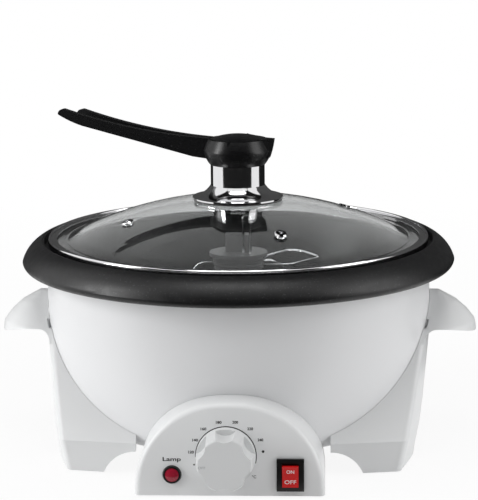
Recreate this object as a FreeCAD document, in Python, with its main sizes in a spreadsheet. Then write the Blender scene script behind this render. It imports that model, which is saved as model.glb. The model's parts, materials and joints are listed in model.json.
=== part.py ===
"""Home coffee bean roaster: a heated non-stick pan with a motor-driven wire stirrer under a loose glass lid.

Millimetres, +Z up.  The origin is on the pan's axis at table level; the control panel faces -Y and the
two side brackets, each an ear with a front and a rear leg, stand at +X and -X.
"""
import FreeCAD, Part
import math
import os

import Sketcher

V = FreeCAD.Vector

# ---------------------------------------------------------------- driving dimensions, millimetres and degrees
DRIVING = {
    # running and seating gaps between pieces
    "seat_gap": 0.3,
    "fit_gap": 0.25,
    "shaft_gap": 0.05,
    # outer bowl
    "bowl_radius": 128.5,
    "bowl_wall": 2.0,
    "bowl_bottom": 12.0,
    "bowl_curve_top": 95.0,
    "bowl_curve_radius": 193.0,
    "bowl_curve_bottom": 26.0,
    "bowl_top": 117.0,
    "service_opening_radius": 72.0,
    # pan
    "pan_lip_out": 3.5,
    "pan_rim_overhang": 16.5,
    "pan_lip_rise": 18.6,
    "pan_rim_gap": 0.5,
    "pan_rim_rise": 4.5,
    "pan_ledge_rise": 13.5,
    "pan_mouth_inset": 6.5,
    "pan_floor_inset": 24.5,
    "pan_floor_top": 50.0,
    "pan_corner_radius": 15.0,
    "pan_wall": 3.0,
    "pan_neck_radius": 11.0,
    "pan_neck_top": 66.0,
    "pan_neck_chamfer": 2.0,
    "pan_neck_taper": 1.2,
    # drive
    "shaft_radius": 4.0,
    "shaft_top": 112.0,
    "bush_radius": 7.0,
    "bush_flange": 2.0,
    "bush_flange_wall": 1.0,
    "motor_radius": 25.0,
    "motor_height": 19.5,
    "plate_wall": 1.5,
    "screw_radius": 1.5,
    # stirrer
    "hub_disc_radius": 19.5,
    "hub_disc_top": 124.0,
    "hub_foot_radius": 30.0,
    "hub_wall": 2.5,
    "grip_width": 17.0,
    "grip_depth": 9.0,
    "grip_height": 12.0,
    "wire_radius": 1.25,
    "arm_clearance": 16.0,
    "loop_height": 25.0,
    # heating element
    "element_radius": 72.0,
    "element_tube_radius": 4.0,
    "shield_radius": 92.0,
    # side brackets
    "bracket_wall": 3.0,
    "foot_gap": 1.0,
    "foot_corner_inset": 21.0,
    "foot_corner_depth": 97.0,
    "foot_band_height": 20.0,
    "band_corner_inset": 16.5,
    "band_corner_depth": 94.0,
    "crown_drop": 18.7,
    "crown_corner_out": 1.8,
    "foot_middle_inset": 6.5,
    "crown_middle_out": 2.5,
    "panel_inner_edge": 62.0,
    "panel_bow": 7.7,
    "ear_height": 19.8,
    "ear_reach": 32.1,
    "ear_droop": 6.5,
    "ear_ridge_radius": 52.4,
    "ear_ridge_inset": 12.9,
    "ear_ridge_drop": 48.6,
    "ear_crest_half": 3.0,
    "leg_overlap": 5.5,
    "foot_arch_radius": 22.8,
    "foot_arch_depth": 8.0,
    "overcut": 1.0,
    "side_arch_half": 58.0,
    "side_arch_height": 36.0,
    "tab_bottom": 9.0,
    "pad_radius": 6.0,
    "pad_height": 3.0,
    # control housing, drawn in the plane of its tilted face
    "panel_tilt": 1.0,
    "panel_reach": 19.1,
    "housing_wall": 2.5,
    "housing_arch_radius": 55.1,
    "housing_arch_offset": 3.6,
    "housing_arch_rise": 4.1,
    "housing_depth": 54.0,
    "housing_round": 3.5,
    "housing_floor": 0.8,
    "under_cut": 5.0,
    "wiring_opening": 34.0,
    "wiring_bottom": 30.0,
    "wiring_top": 46.0,
    # controls on the face
    "dial_offset": 2.1,
    "dial_height": 26.0,
    "dial_radius": 18.4,
    "dial_depth": 21.5,
    "dial_grip_radius": 16.8,
    "dial_lobe_radius": 9.0,
    "dial_shaft_radius": 3.0,
    "lamp_offset": 35.4,
    "lamp_height": 14.2,
    "lamp_radius": 5.9,
    "lens_radius": 4.3,
    "switch_offset": 37.4,
    "switch_height": 14.4,
    "switch_width": 16.8,
    "switch_tall": 20.4,
    "rocker_width": 10.0,
    "rocker_tall": 13.6,
    "rocker_tilt": 8.0,
    # lid
    "glass_sphere_radius": 260.0,
    "glass_knee_rise": 0.274988,
    "glass_dome_inset": 14.5,
    "glass_knee": 2.0,
    "glass_inner_step": 1.0,
    "glass_inner_knee": 0.4,
    "glass_inset": 1.9,
    "glass_wall": 4.0,
    "ring_inset": 0.9,
    "ring_wall": 0.8,
    "vent_circle_radius": 78.0,
    "vent_radius": 3.6,
    "vent_bore": 1.8,
    "skirt_radius": 30.4,
    "skirt_sink": 0.6,
    "sleeve_radius": 18.1,
    "skirt_rise": 8.3,
    "sleeve_height": 13.8,
    "knob_radius": 22.6,
    "knob_height": 17.9,
    "cap_radius": 17.6,
    "handle_reach": 125.5,
    "handle_rise": 14.6,
    "handle_turn": 16.0,
    "prong_wall": 5.0,
    "prong_spread": 8.6,
    "far_prong_cut": 7.0,
    "prong_root_spread": 3.0,
    "post_radius": 6.0,
    # rear cord inlet
    "gland_radius": 7.0,
    "gland_height": 40.0,
    "gland_bore": 4.0,
    # screws, holes and plates
    "screw_head_radius": 2.8,
    "screw_head_height": 1.7,
    "bracket_screw_inset_x": 52.5,
    "bracket_screw_inset_y": 74.5,
    "motor_foot_inset": 47.5,
    "motor_foot_y": 9.0,
    "cover_radius": 78.0,
    "cover_bottom": 9.7,
    "cover_screw_circle": 75.0,
    "vent_slot_start": 32.0,
    "vent_slot_width": 4.0,
    "vent_slot_length": 30.0,
    "motor_bracket_inset": 54.5,
    "motor_bracket_gap": 40.5,
    "motor_bracket_width": 30.0,
    "bracket_plate_top": 34.5,
    "motor_screw_x": 17.5,
    "motor_screw_length": 8.0,
    "motor_bore_depth": 12.0,
    "shield_bore": 22.0,
    "shield_wall": 0.8,
    "shield_lip": 5.0,
    "element_tail": 16.0,
    "element_tail_gap": 9.0,
    "element_tail_scale": 0.75,
    "tail_clearance": 1.0,
    "clip_width": 8.0,
    "clip_wall": 2.0,
    "bulb_tube_radius": 3.0,
    "bulb_tube_length": 44.0,
    "bulb_place": 45.0,
    "fuse_radius": 2.2,
    "fuse_length": 14.0,
    "gland_length": 16.0,
    "gland_flange": 2.5,
    "gland_nose_wall": 1.5,
    # seat ring and rim curves
    "seat_ring_wall": 2.0,
    "seat_ring_hook": 6.0,
    "seat_ring_out": 1.8,
    "seat_ring_in": 3.2,
    "seat_ring_step": 3.0,
    "rim_curl_radius": 5.0,
    "rim_curve_radius": 22.0,
    "rim_tuck": 6.5,
    "lip_wall": 1.4,
    "lip_chamfer": 0.5,
    "lip_lean": 0.4,
    "mouth_edge_out": 1.2,
    "mouth_edge_in": 0.3,
    "mouth_edge_drop": 1.4,
    "rim_root_in": 1.2,
    "rim_root_out": 0.8,
    "rim_root_rise": 2.4,
    "rim_skin": 3.2,
    "rim_skin_rise": 0.3,
    "curl_in": 5.8,
    "curl_rise": 2.1,
    # stirrer details
    "hub_lift": 0.8,
    "hub_clearance": 2.5,
    "hub_disc_wall": 2.5,
    "hub_neck_radius": 16.0,
    "hub_rib": 1.2,
    "hub_rib_pitch": 5.0,
    "hub_rib_start": 0.8,
    "hub_rib_end": 2.2,
    "hub_rib_foot": 3.0,
    "hub_sweep_radius": 70.0,
    "arm_bend": 8.0,
    "sweep_bend": 4.8,
    "arm_turn": 15.0,
    "arm_shoulder": 24.0,
    "arm_heel": 57.0,
    "arm_tip_rise": 8.0,
    "breaker_rear_x": 36.0,
    "breaker_rear_y": 72.0,
    "breaker_side_x": 54.0,
    "breaker_side_y": 40.0,
    "breaker_front_x": 37.0,
    "breaker_front_y": -8.0,
    "breaker_drop": 4.0,
    "breaker_start": 45.0,
    "breaker_end": -14.0,
    "loop_half": 2.4,
    "loop_bend": 2.28,
    "loop_place": 5.9,
    "loop_wire": 1.0,
    # bracket details
    "band_middle_inset": 4.7,
    "crown_corner_depth": 15.7,
    "lean_inset": 1.3,
    "bracket_corner_radius": 5.0,
    "ear_root_inset": 16.5,
    "ear_margin": 0.3,
    "ear_nose_half": 1.5,
    "ear_round_ratio": 1.05,
    "ear_droop_radius": 70.0,
    "ear_slot_gap": 2.0,
    "side_arch_spring": 8.0,
    "foot_plate_in": 12.0,
    "foot_plate_back": 28.0,
    "screw_tab_in": 8.0,
    "screw_tab_before": 9.0,
    "screw_tab_behind": 10.0,
    "ear_fillet": 8.0,
    "ear_slot_rise": 0.5,
    "ear_slot_height": 5.0,
    "pad_inset_x": 10.5,
    "pad_inset_y": 12.0,
    # details of the controls
    "floor_wall": 2.0,
    "terminal_length": 36.0,
    "terminal_width": 14.0,
    "terminal_height": 12.0,
    "terminal_pitch": 0.6,
    "thermostat_width": 34.0,
    "thermostat_tall": 28.0,
    "thermostat_depth": 14.0,
    "thermostat_shaft_depth": 8.0,
    "thermostat_screw_x": 8.8,
    "thermostat_screw_length": 7.0,
    "spade_width": 6.3,
    "spade_wall": 0.8,
    "spade_length": 7.0,
    "dial_shaft_top": 15.0,
    "dial_shaft_flat": 1.5,
    "dial_shaft_flat_start": 5.0,
    "dial_core_radius": 5.2,
    "dial_taper_start": 5.0,
    "dial_wall": 1.8,
    "dial_skirt": 2.5,
    "dial_round": 1.3,
    "dial_lobe_cut": 2.4,
    "lamp_barrel_radius": 5.0,
    "lamp_depth": 14.0,
    "lamp_rim": 1.6,
    "lamp_chamfer": 0.6,
    "lens_crown": 0.8,
    "lens_bulge": 1.0,
    "bulb_tail": 4.0,
    "bulb_radius": 2.4,
    "switch_rim": 1.8,
    "switch_body_width": 13.4,
    "switch_body_tall": 17.6,
    "switch_body_depth": 15.0,
    "rocker_drop": 5.0,
    "rocker_play": 0.5,
    "rocker_foot": 8.0,
    "rocker_height": 4.0,
    "rocker_edge": 1.8,
    "rocker_dip": 1.0,
    # details of the lid
    "brim_rise": 5.1,
    "ring_grip": 6.0,
    "vent_turn": 23.0,
    "vent_tube_radius": 2.8,
    "vent_flange_wall": 0.8,
    "vent_lip": 0.7,
    "vent_mouth": 0.5,
    "skirt_foot_radius": 24.5,
    "skirt_wall": 1.0,
    "skirt_collar": 0.6,
    "skirt_collar_rise": 0.2,
    "skirt_foot": 3.0,
    "gasket_inset": 0.6,
    "skirt_sweep_radius": 16.0,
    "sleeve_wall": 1.0,
    "post_sink": 3.8,
    "knob_belly_radius": 17.0,
    "knob_side_radius": 60.0,
    "knob_collar": 0.4,
    "knob_shoulder": 8.5,
    "knob_lip_radius": 19.6,
    "knob_lip_drop": 0.9,
    "cap_seat_lean": 0.3,
    "cap_seat_rise": 1.6,
    "cap_sink": 3.4,
    "cap_rise": 3.0,
    "cap_edge_drop": 0.8,
    "prong_root": 19.0,
    "prong_top_drop": 0.8,
    "prong_tip_back": 4.0,
    "prong_tip_slope": 0.27,
    "prong_tip_rise": 1.6,
    "prong_tip_drop": 2.0,
    "prong_belly_back": 17.5,
    "prong_heel_back": 11.0,
    "prong_heel_rise": 1.3,
    "prong_sweep_radius": 418.0,
    "prong_nose_radius": 3.6,
    "prong_belly_radius": 75.0,
    "prong_belly_rise": 5.1,
    "prong_root_rise": 3.3,
    "beak_reach": 3.6,
    "beak_rise": 0.4,
    "beak_root": 13.0,
    "beak_start": 0.6,
    "beak_inset": 0.4,
    "beak_width": 21.0,
    "washer_radius": 14.0,
    "washer_wall": 1.2,
    "lid_screw_radius": 2.0,
    "lid_screw_head": 5.0,
    "lid_screw_head_height": 3.0,
    "lid_screw_taper": 0.6,
    "lid_screw_edge": 0.8,
    "lid_screw_grip": 4.0,
}


# ---------------------------------------------------------------- sizes that follow another by a named step
FOLLOWING = {
    "pan_lip_radius": lambda: S.bowl_radius + S.pan_lip_out,
    "pan_rim_radius": lambda: S.bowl_radius + S.pan_rim_overhang,
    "pan_mouth_radius": lambda: S.bowl_radius - S.pan_mouth_inset,
    "pan_floor_radius": lambda: S.bowl_radius - S.pan_floor_inset,
    "pan_lip_top": lambda: S.bowl_top + S.pan_lip_rise,
    "pan_rim_bottom": lambda: S.bowl_top + S.pan_rim_gap,
    "pan_rim_height": lambda: S.bowl_top + S.pan_rim_rise,
    "pan_ledge_top": lambda: S.bowl_top + S.pan_ledge_rise,
    "brim_top": lambda: S.pan_ledge_top + S.brim_rise,
    "arm_reach": lambda: S.pan_floor_radius - S.arm_clearance,
    "panel_front": lambda: S.bowl_radius + S.panel_reach,
    "foot_corner_width": lambda: S.bowl_radius - S.foot_corner_inset,
    "band_corner_width": lambda: S.bowl_radius - S.band_corner_inset,
    "crown_corner_width": lambda: S.bowl_radius + S.crown_corner_out,
    "foot_middle_width": lambda: S.bowl_radius - S.foot_middle_inset,
    "band_middle_width": lambda: S.bowl_radius - S.band_middle_inset,
    "crown_middle_width": lambda: S.bowl_radius + S.crown_middle_out,
    "crown_height": lambda: S.bowl_top - S.crown_drop,
    "ear_tip": lambda: S.bowl_radius + S.ear_reach,
    "ear_ridge_centre": lambda: S.bowl_radius - S.ear_ridge_inset,
    "ear_ridge_height": lambda: S.crown_height - S.ear_ridge_drop,
    "ear_bottom": lambda: S.crown_height - S.ear_height,
    "ear_lip": lambda: S.ear_bottom - S.ear_droop,
    "leg_top": lambda: S.ear_bottom + S.leg_overlap,
    "ear_slot_bottom": lambda: S.ear_bottom + S.ear_slot_rise,
    "ear_slot_top": lambda: S.ear_slot_bottom + S.ear_slot_height,
    "ear_root": lambda: S.bowl_radius - S.ear_root_inset,
    "pad_x": lambda: S.foot_corner_width - S.pad_inset_x,
    "pad_y": lambda: S.foot_corner_depth - S.pad_inset_y,
    "foot_plate_start": lambda: S.pad_x - S.foot_plate_in,
    "foot_plate_near": lambda: S.pad_y - S.foot_plate_back,
    "bracket_screw_x": lambda: S.bowl_radius - S.bracket_screw_inset_x,
    "bracket_screw_y": lambda: S.bowl_radius - S.bracket_screw_inset_y,
    "screw_tab_start": lambda: S.bracket_screw_x - S.screw_tab_in,
    "screw_tab_near": lambda: S.bracket_screw_y - S.screw_tab_before,
    "screw_tab_far": lambda: S.bracket_screw_y + S.screw_tab_behind,
    "glass_dome_radius": lambda: S.bowl_radius - S.glass_dome_inset,
    "glass_radius": lambda: S.bowl_radius - S.glass_inset,
    "ring_radius": lambda: S.bowl_radius - S.ring_inset,
    "glass_apex": lambda: (
        S.brim_top + S.glass_knee_rise + dome_rise(S.glass_sphere_radius, S.glass_dome_radius)),
    "skirt_bottom": lambda: S.glass_apex - S.skirt_sink,
    "sleeve_bottom": lambda: S.glass_apex + S.skirt_rise,
    "sleeve_top": lambda: S.sleeve_bottom + S.sleeve_height,
    "post_bottom": lambda: S.glass_apex - S.post_sink,
    "knob_top": lambda: S.sleeve_top + S.knob_height,
    "handle_tip_height": lambda: S.knob_top + S.handle_rise,
    "prong_belly_height": lambda: S.knob_top + S.prong_belly_rise,
    "prong_root_bottom": lambda: S.sleeve_top + S.prong_root_rise,
    "motor_foot_x": lambda: S.bowl_radius - S.motor_foot_inset,
    "motor_bracket_half": lambda: S.bowl_radius - S.motor_bracket_inset,
    "motor_bracket_foot": lambda: S.bowl_radius - S.motor_bracket_gap,
}


# ---------------------------------------------------------------- document and helpers
DOC = FreeCAD.newDocument("CoffeeRoaster")
SHEET = DOC.addObject("Spreadsheet::Sheet", "Sizes")
NODES = []


class Size:
    """A number together with the spreadsheet expression that gives it."""

    def __init__(self, value, text):
        self.value = float(value)
        self.text = text

    def __add__(self, other):
        other = size(other)
        return Size(self.value + other.value, f"({self.text} + {other.text})")

    def __radd__(self, other):
        return size(other) + self

    def __sub__(self, other):
        other = size(other)
        return Size(self.value - other.value, f"({self.text} - {other.text})")

    def __rsub__(self, other):
        return size(other) - self

    def __mul__(self, other):
        other = size(other)
        return Size(self.value * other.value, f"({self.text} * {other.text})")

    def __rmul__(self, other):
        return size(other) * self

    def __truediv__(self, other):
        other = size(other)
        return Size(self.value / other.value, f"({self.text} / {other.text})")

    def __neg__(self):
        return Size(-self.value, f"(-1 * {self.text})")


def size(thing):
    """Turns a plain number into a Size; a Size stays as it is."""
    return thing if isinstance(thing, Size) else Size(thing, f"({float(thing)!r})")


def root(thing):
    return Size(math.sqrt(thing.value), f"sqrt({thing.text})")


def arc_tangent(slope):
    """The angle, in degrees, of a slope."""
    return Size(math.degrees(math.atan(slope.value)), f"(atan({slope.text}) / 1 deg)")


def arc_sine(ratio):
    return Size(math.degrees(math.asin(ratio.value)), f"(asin({ratio.text}) / 1 deg)")


def sine(degrees):
    return Size(math.sin(math.radians(degrees.value)), f"sin({degrees.text} * 1 deg)")


def cosine(degrees):
    return Size(math.cos(math.radians(degrees.value)), f"cos({degrees.text} * 1 deg)")


def dome_rise(sphere, reach):
    """How high a cap of that radius stands, cut from that sphere."""
    return sphere - root(sphere * sphere - reach * reach)


class Sheet:
    """Reads the driving dimensions, and the sizes that follow them, by name."""

    def __getattr__(self, name):
        if name in FOLLOWING:
            return FOLLOWING[name]()
        return Size(DRIVING[name], f"Sizes.{name}")


S = Sheet()


def fill_sheet():
    for row, (name, value) in enumerate(DRIVING.items(), start=1):
        SHEET.set(f"A{row}", name)
        SHEET.set(f"B{row}", repr(float(value)))
        SHEET.setAlias(f"B{row}", name)
    DOC.recompute()


def body(name):
    made = DOC.addObject("PartDesign::Body", name)
    made.AllowCompound = True
    return made


def origin_item(owner, role):
    return next(item for item in owner.Origin.OriginFeatures if item.Role == role)


def sketch(owner, role, lift=None):
    """An empty sketch on one of the body's origin planes, lifted along the plane's normal."""
    made = owner.newObject("Sketcher::SketchObject", owner.Name + "_sketch")
    made.AttachmentSupport = (origin_item(owner, role), [""])
    made.MapMode = "FlatFace"
    if lift is not None:
        made.AttachmentOffset = FreeCAD.Placement(V(0, 0, lift.value), FreeCAD.Rotation())
        made.setExpression("AttachmentOffset.Base.z", lift.text)
    return made


def hold(made, rules):
    """Adds (kind, arguments, size) constraints and binds each to its expression."""
    first = made.ConstraintCount
    made.addConstraint([Sketcher.Constraint(kind, *args, length.value) for kind, args, length in rules])
    for index, (_kind, _args, length) in enumerate(rules, start=first):
        made.setExpression(f"Constraints[{index}]", length.text)


def outline(made, corners):
    """Draws a closed outline.  A corner is (x, y), or (x, y, radius) when the edge after it is an arc:
    the radius is positive when the arc turns left along the way, negative when it turns right."""
    points = [V(size(corner[0]).value, size(corner[1]).value, 0) for corner in corners]
    edges = []
    ends = []
    for index, corner in enumerate(corners):
        start = points[index]
        end = points[(index + 1) % len(points)]
        if len(corner) == 2:
            edges.append(Part.LineSegment(start, end))
            ends.append((1, 2))
            continue
        radius = size(corner[2]).value
        chord = end - start
        apothem = math.sqrt(max(radius * radius - chord.Length ** 2 / 4, 0))
        left = V(-chord.y, chord.x, 0).normalize()
        centre = (start + end) * 0.5 + left * math.copysign(apothem, radius)
        begin, finish = (start, end) if radius > 0 else (end, start)
        angles = [math.atan2(p.y - centre.y, p.x - centre.x) for p in (begin, finish)]
        circle = Part.Circle(centre, V(0, 0, 1), abs(radius))
        edges.append(Part.ArcOfCircle(circle, *angles))
        ends.append((1, 2) if radius > 0 else (2, 1))
    first = made.GeometryCount
    made.addGeometry(edges, False)
    joints = []
    for index in range(len(edges)):
        after = (index + 1) % len(edges)
        joints.append(Sketcher.Constraint("Coincident", first + index, ends[index][1],
                                          first + after, ends[after][0]))
    made.addConstraint(joints)
    rules = []
    for index, corner in enumerate(corners):
        place = (-1, 1, first + index, ends[index][0])
        rules.append(("DistanceX", place, size(corner[0])))
        rules.append(("DistanceY", place, size(corner[1])))
        if len(corner) == 3:
            radius = size(corner[2])
            rules.append(("Radius", (first + index,), radius if radius.value > 0 else -radius))
    hold(made, rules)


def backwards(run):
    """The same run of corners walked the other way."""
    turned = []
    for index in range(len(run) - 1, -1, -1):
        corner = tuple(run[index][:2])
        if index > 0 and len(run[index - 1]) == 3:
            corner += (-size(run[index - 1][2]),)
        turned.append(corner)
    return turned


def circle(made, x, y, radius):
    x, y = size(x), size(y)
    index = made.GeometryCount
    made.addGeometry(Part.Circle(V(x.value, y.value, 0), V(0, 0, 1), radius.value), False)
    hold(made, [("DistanceX", (-1, 1, index, 3), x),
                ("DistanceY", (-1, 1, index, 3), y),
                ("Radius", (index,), radius)])


def rectangle(made, low_x, low_y, high_x, high_y):
    outline(made, [(low_x, low_y), (high_x, low_y), (high_x, high_y), (low_x, high_y)])


def turn(owner, kind, corners):
    """A Revolution or Groove about Z of an outline given as radius and height."""
    drawing = sketch(owner, "XZ_Plane")
    outline(drawing, corners)
    made = owner.newObject(f"PartDesign::{kind}", f"{owner.Name}_{kind}")
    made.Profile = drawing
    made.ReferenceAxis = (drawing, ["V_Axis"])
    made.Angle = 360
    return made


def push(owner, kind, drawing, length, reverse=False, both=False):
    """A Pad or Pocket of a drawing."""
    made = owner.newObject(f"PartDesign::{kind}", f"{owner.Name}_{kind}")
    made.Profile = drawing
    made.Length = length.value
    made.setExpression("Length", length.text)
    made.Reversed = reverse
    if both:
        made.SideType = "Symmetric"
    return made


def around(owner, features, count):
    """Repeats features evenly around the body's Z axis."""
    made = owner.newObject("PartDesign::PolarPattern", owner.Name + "_around")
    made.Originals = features
    made.Axis = (origin_item(owner, "Z_Axis"), [""])
    made.Angle = 360
    made.Occurrences = count
    owner.Tip = made
    return made


def post(owner, x, y, radius, bottom, height, kind="Pad"):
    """A round boss up from bottom, or a round hole when kind is Pocket."""
    drawing = sketch(owner, "XY_Plane", bottom)
    circle(drawing, x, y, radius)
    return push(owner, kind, drawing, height, reverse=kind == "Pocket")


def place(thing, x=None, y=None, z=None, axis=None, angle=None):
    """Puts an object where the sizes say, turned about an axis by an angle in degrees."""
    spots = [size(value if value is not None else 0) for value in (x, y, z)]
    turned = FreeCAD.Rotation(axis, angle.value) if axis is not None else FreeCAD.Rotation()
    thing.Placement = FreeCAD.Placement(V(*[spot.value for spot in spots]), turned)
    for letter, spot in zip("xyz", spots):
        thing.setExpression(f"Placement.Base.{letter}", spot.text)
    if axis is not None:
        thing.setExpression("Placement.Rotation.Angle", angle.text)
    return thing


def combine(kind, name, base, *tools):
    """Part::Cut and Part::Common of two objects, or Part::MultiFuse of several."""
    made = DOC.addObject(f"Part::{kind}", name)
    if kind.startswith("Multi"):
        made.Shapes = [base, *tools]
    else:
        made.Base = base
        made.Tool = tools[0]
    return made


def solid(name, shape):
    """A sub-part whose shape comes from Part's own functions."""
    made = DOC.addObject("Part::Feature", name)
    made.Shape = shape
    return made


def node(thing, name):
    """Names a finished sub-part."""
    thing.Label = name
    NODES.append(thing)
    return thing


# ---------------------------------------------------------------- the outer bowl
def bowl_run(inset):
    """The bowl's wall from its flat floor up to the rim, moved inwards by inset."""
    lean = (S.bowl_curve_top - S.bowl_curve_bottom) / S.bowl_curve_radius
    upright = root(1 - lean * lean)
    curve = S.bowl_curve_radius - inset
    bend = (S.bowl_curve_bottom - S.bowl_bottom) / (1 - lean)
    start = S.bowl_radius - S.bowl_curve_radius * (1 - upright) - bend * upright
    wall_radius = S.bowl_radius - S.bowl_curve_radius + curve * upright
    return [(start, S.bowl_bottom + inset, bend - inset),
            (wall_radius, S.bowl_curve_top - curve * lean, curve),
            (S.bowl_radius - inset, S.bowl_curve_top),
            (S.bowl_radius - inset, S.bowl_top)]


def wall_radius_at(height, inset=0):
    """Radius of the curved part of the wall at a height."""
    drop = S.bowl_curve_top - height
    curve = S.bowl_curve_radius - inset
    return S.bowl_radius - S.bowl_curve_radius + root(curve * curve - drop * drop)


def bowl_envelope(name, grow, low=None, high=None):
    """The space that the bowl takes up, grown by a clearance, whole or as a band between two heights."""
    made = body(name)
    if low is None:
        turn(made, "Revolution", [(0, S.bowl_bottom - grow)] + bowl_run(-grow) + [(0, S.bowl_top)])
        return made
    turn(made, "Revolution", [(0, low), (wall_radius_at(low, -grow), low, S.bowl_curve_radius + grow),
                              (wall_radius_at(high, -grow), high), (0, high)])
    return made


def rod(name, radius, length, **where):
    """A round rod along its own Z axis."""
    made = DOC.addObject("Part::Cylinder", name)
    made.Radius = radius.value
    made.Height = length.value
    made.setExpression("Radius", radius.text)
    made.setExpression("Height", length.text)
    return place(made, **where)


def block(name, low, high):
    """A box between two corners."""
    made = DOC.addObject("Part::Box", name)
    for prop, first, last in zip(("Length", "Width", "Height"), low, high):
        extent = size(last) - size(first)
        setattr(made, prop, extent.value)
        made.setExpression(prop, extent.text)
    return place(made, *low)


def gland_seat(back=0):
    """Where the cord gland crosses the rear wall, or a point that far back inside along its own axis."""
    lean = arc_sine((S.bowl_curve_top - S.gland_height) / S.bowl_curve_radius)
    return {"y": wall_radius_at(S.gland_height) - back * cosine(lean),
            "z": S.gland_height + back * sine(lean), "axis": V(1, 0, 0), "angle": -(90 + lean)}


def bowl_shell():
    made = body("bowl_shell_blank")
    opening = S.service_opening_radius
    turn(made, "Revolution", [(opening, S.bowl_bottom)] + bowl_run(0) + backwards(bowl_run(S.bowl_wall))
         + [(opening, S.bowl_bottom + S.bowl_wall)])
    wiring = sketch(made, "XZ_Plane")
    half = S.wiring_opening / 2
    rectangle(wiring, -half, S.wiring_bottom, half, S.wiring_top)
    push(made, "Pocket", wiring, S.panel_front, reverse=True)
    for points in (screw_places(S.bracket_screw_x, S.bracket_screw_y),
                   screw_places(S.motor_foot_x, S.motor_foot_y), cover_screw_places()):
        holes = sketch(made, "XY_Plane")
        for x, y in points:
            circle(holes, x, y, S.screw_radius + S.shaft_gap)
        push(made, "Pocket", holes, S.bowl_bottom + S.bowl_wall + S.overcut, reverse=True)
    hole = rod("gland_hole", S.gland_radius + S.shaft_gap, S.gland_length * 2, **gland_seat(S.gland_length))
    return node(combine("Cut", "bowl_shell", made, hole), "bowl_shell")


def screw_places(x, y):
    """The four corners of a rectangle of screws."""
    return [(sign_x * x, sign_y * y) for sign_x in (1, -1) for sign_y in (1, -1)]


def cover_screw_places():
    diagonal = S.cover_screw_circle * math.sqrt(0.5)
    return screw_places(diagonal, diagonal)


def screws_up(name, places, head_top, reach):
    """A group of screws driven upwards, heads below."""
    made = body(name)
    heads = sketch(made, "XY_Plane", head_top - S.screw_head_height)
    shanks = sketch(made, "XY_Plane", head_top - S.screw_head_height)
    for x, y in places:
        circle(heads, x, y, S.screw_head_radius)
        circle(shanks, x, y, S.screw_radius)
    push(made, "Pad", heads, S.screw_head_height)
    push(made, "Pad", shanks, reach + S.screw_head_height)
    return node(made, name)


def bottom_cover():
    made = body("bottom_cover")
    turn(made, "Revolution", [(0, S.cover_bottom), (S.cover_radius, S.cover_bottom),
                              (S.cover_radius, S.bowl_bottom - S.seat_gap), (0, S.bowl_bottom - S.seat_gap)])
    slots = sketch(made, "XZ_Plane", S.vent_slot_start)
    rectangle(slots, -S.vent_slot_width / 2, 0, S.vent_slot_width / 2, S.bowl_bottom)
    slot = push(made, "Pocket", slots, S.vent_slot_length)
    slot.Reversed = True
    around(made, [slot], 16)
    holes = sketch(made, "XY_Plane")
    for x, y in cover_screw_places():
        circle(holes, x, y, S.screw_radius + S.shaft_gap)
    made.Tip = push(made, "Pocket", holes, S.bowl_bottom, reverse=True)
    return node(made, "bottom_cover")


# ---------------------------------------------------------------- side brackets
def leg_level(height_rise):
    """Corner width, corner depth and middle width of a bracket at a height above the foot band's top."""
    rise = S.crown_height - S.foot_band_height
    return [low + (high - low) * (height_rise / rise)
            for low, high in ((S.band_corner_width, S.crown_corner_width),
                              (S.band_corner_depth, S.crown_corner_depth),
                              (S.band_middle_width, S.crown_middle_width))]


def leg_section(owner, height, corner, depth, middle, inset):
    """A bracket's plan at one height: a bulged side between two rounded corners, open towards the bowl."""
    x = corner - inset
    y = depth - inset * S.lean_inset
    mid = middle - inset
    inner = S.panel_inner_edge - inset
    back = y + S.panel_bow
    round_off = S.bracket_corner_radius - inset * 0.5
    slope = S.panel_bow / (corner - S.panel_inner_edge)
    half = y - round_off
    bulge = mid - x
    side = (half * half + bulge * bulge) / (2 * bulge)
    drawing = sketch(owner, "XY_Plane", height)
    outline(drawing, [(inner, -back), (x - round_off, -(y + round_off * slope), round_off),
                      (x, -half, side), (x, half, round_off),
                      (x - round_off, y + round_off * slope), (inner, back)])
    return drawing


def leg_block(name, inset):
    """The legs of a bracket, leaning back from the foot band to the ear."""
    made = body(name)
    top = S.leg_top
    bottom = S.foot_gap - inset
    low = leg_section(made, bottom, S.foot_corner_width, S.foot_corner_depth, S.foot_middle_width, inset)
    middle = leg_section(made, S.foot_band_height, S.band_corner_width, S.band_corner_depth,
                         S.band_middle_width, inset)
    high = leg_section(made, top, *leg_level(top - S.foot_band_height), inset)
    loft = made.newObject("PartDesign::AdditiveLoft", name + "_loft")
    loft.Profile = low
    loft.Sections = [middle, high]
    loft.Ruled = True
    return made


def ear_heel():
    """The rounded corner between the leg's edge and the underside of the ear."""
    low = S.ear_bottom - S.ear_fillet
    edge = leg_level(low - S.foot_band_height)[0]
    return [(S.ear_root, low), (edge, low, -S.ear_fillet), (edge + S.ear_fillet, S.ear_bottom)]


def ridge_reach(height, inset):
    """How far the line of the ear's crest reaches at a height."""
    radius = S.ear_ridge_radius - inset
    rise = height - S.ear_ridge_height
    return S.ear_ridge_centre + root(radius * radius - rise * rise)


def ear_section(owner, height, reach, half, inset):
    """The ear's plan at one height: straight beside the bowl, then round to a narrow nose."""
    x = reach + S.ear_margin
    y = half - inset * S.lean_inset
    drop = y - S.ear_nose_half
    run = drop * S.ear_round_ratio
    bend = (run * run + drop * drop) / (2 * drop)
    drawing = sketch(owner, "XY_Plane", height)
    outline(drawing, [(S.ear_root, -y), (x - run, -y, bend), (x, -S.ear_nose_half),
                      (x, S.ear_nose_half, bend), (x - run, y), (S.ear_root, y)])
    return drawing


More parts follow.
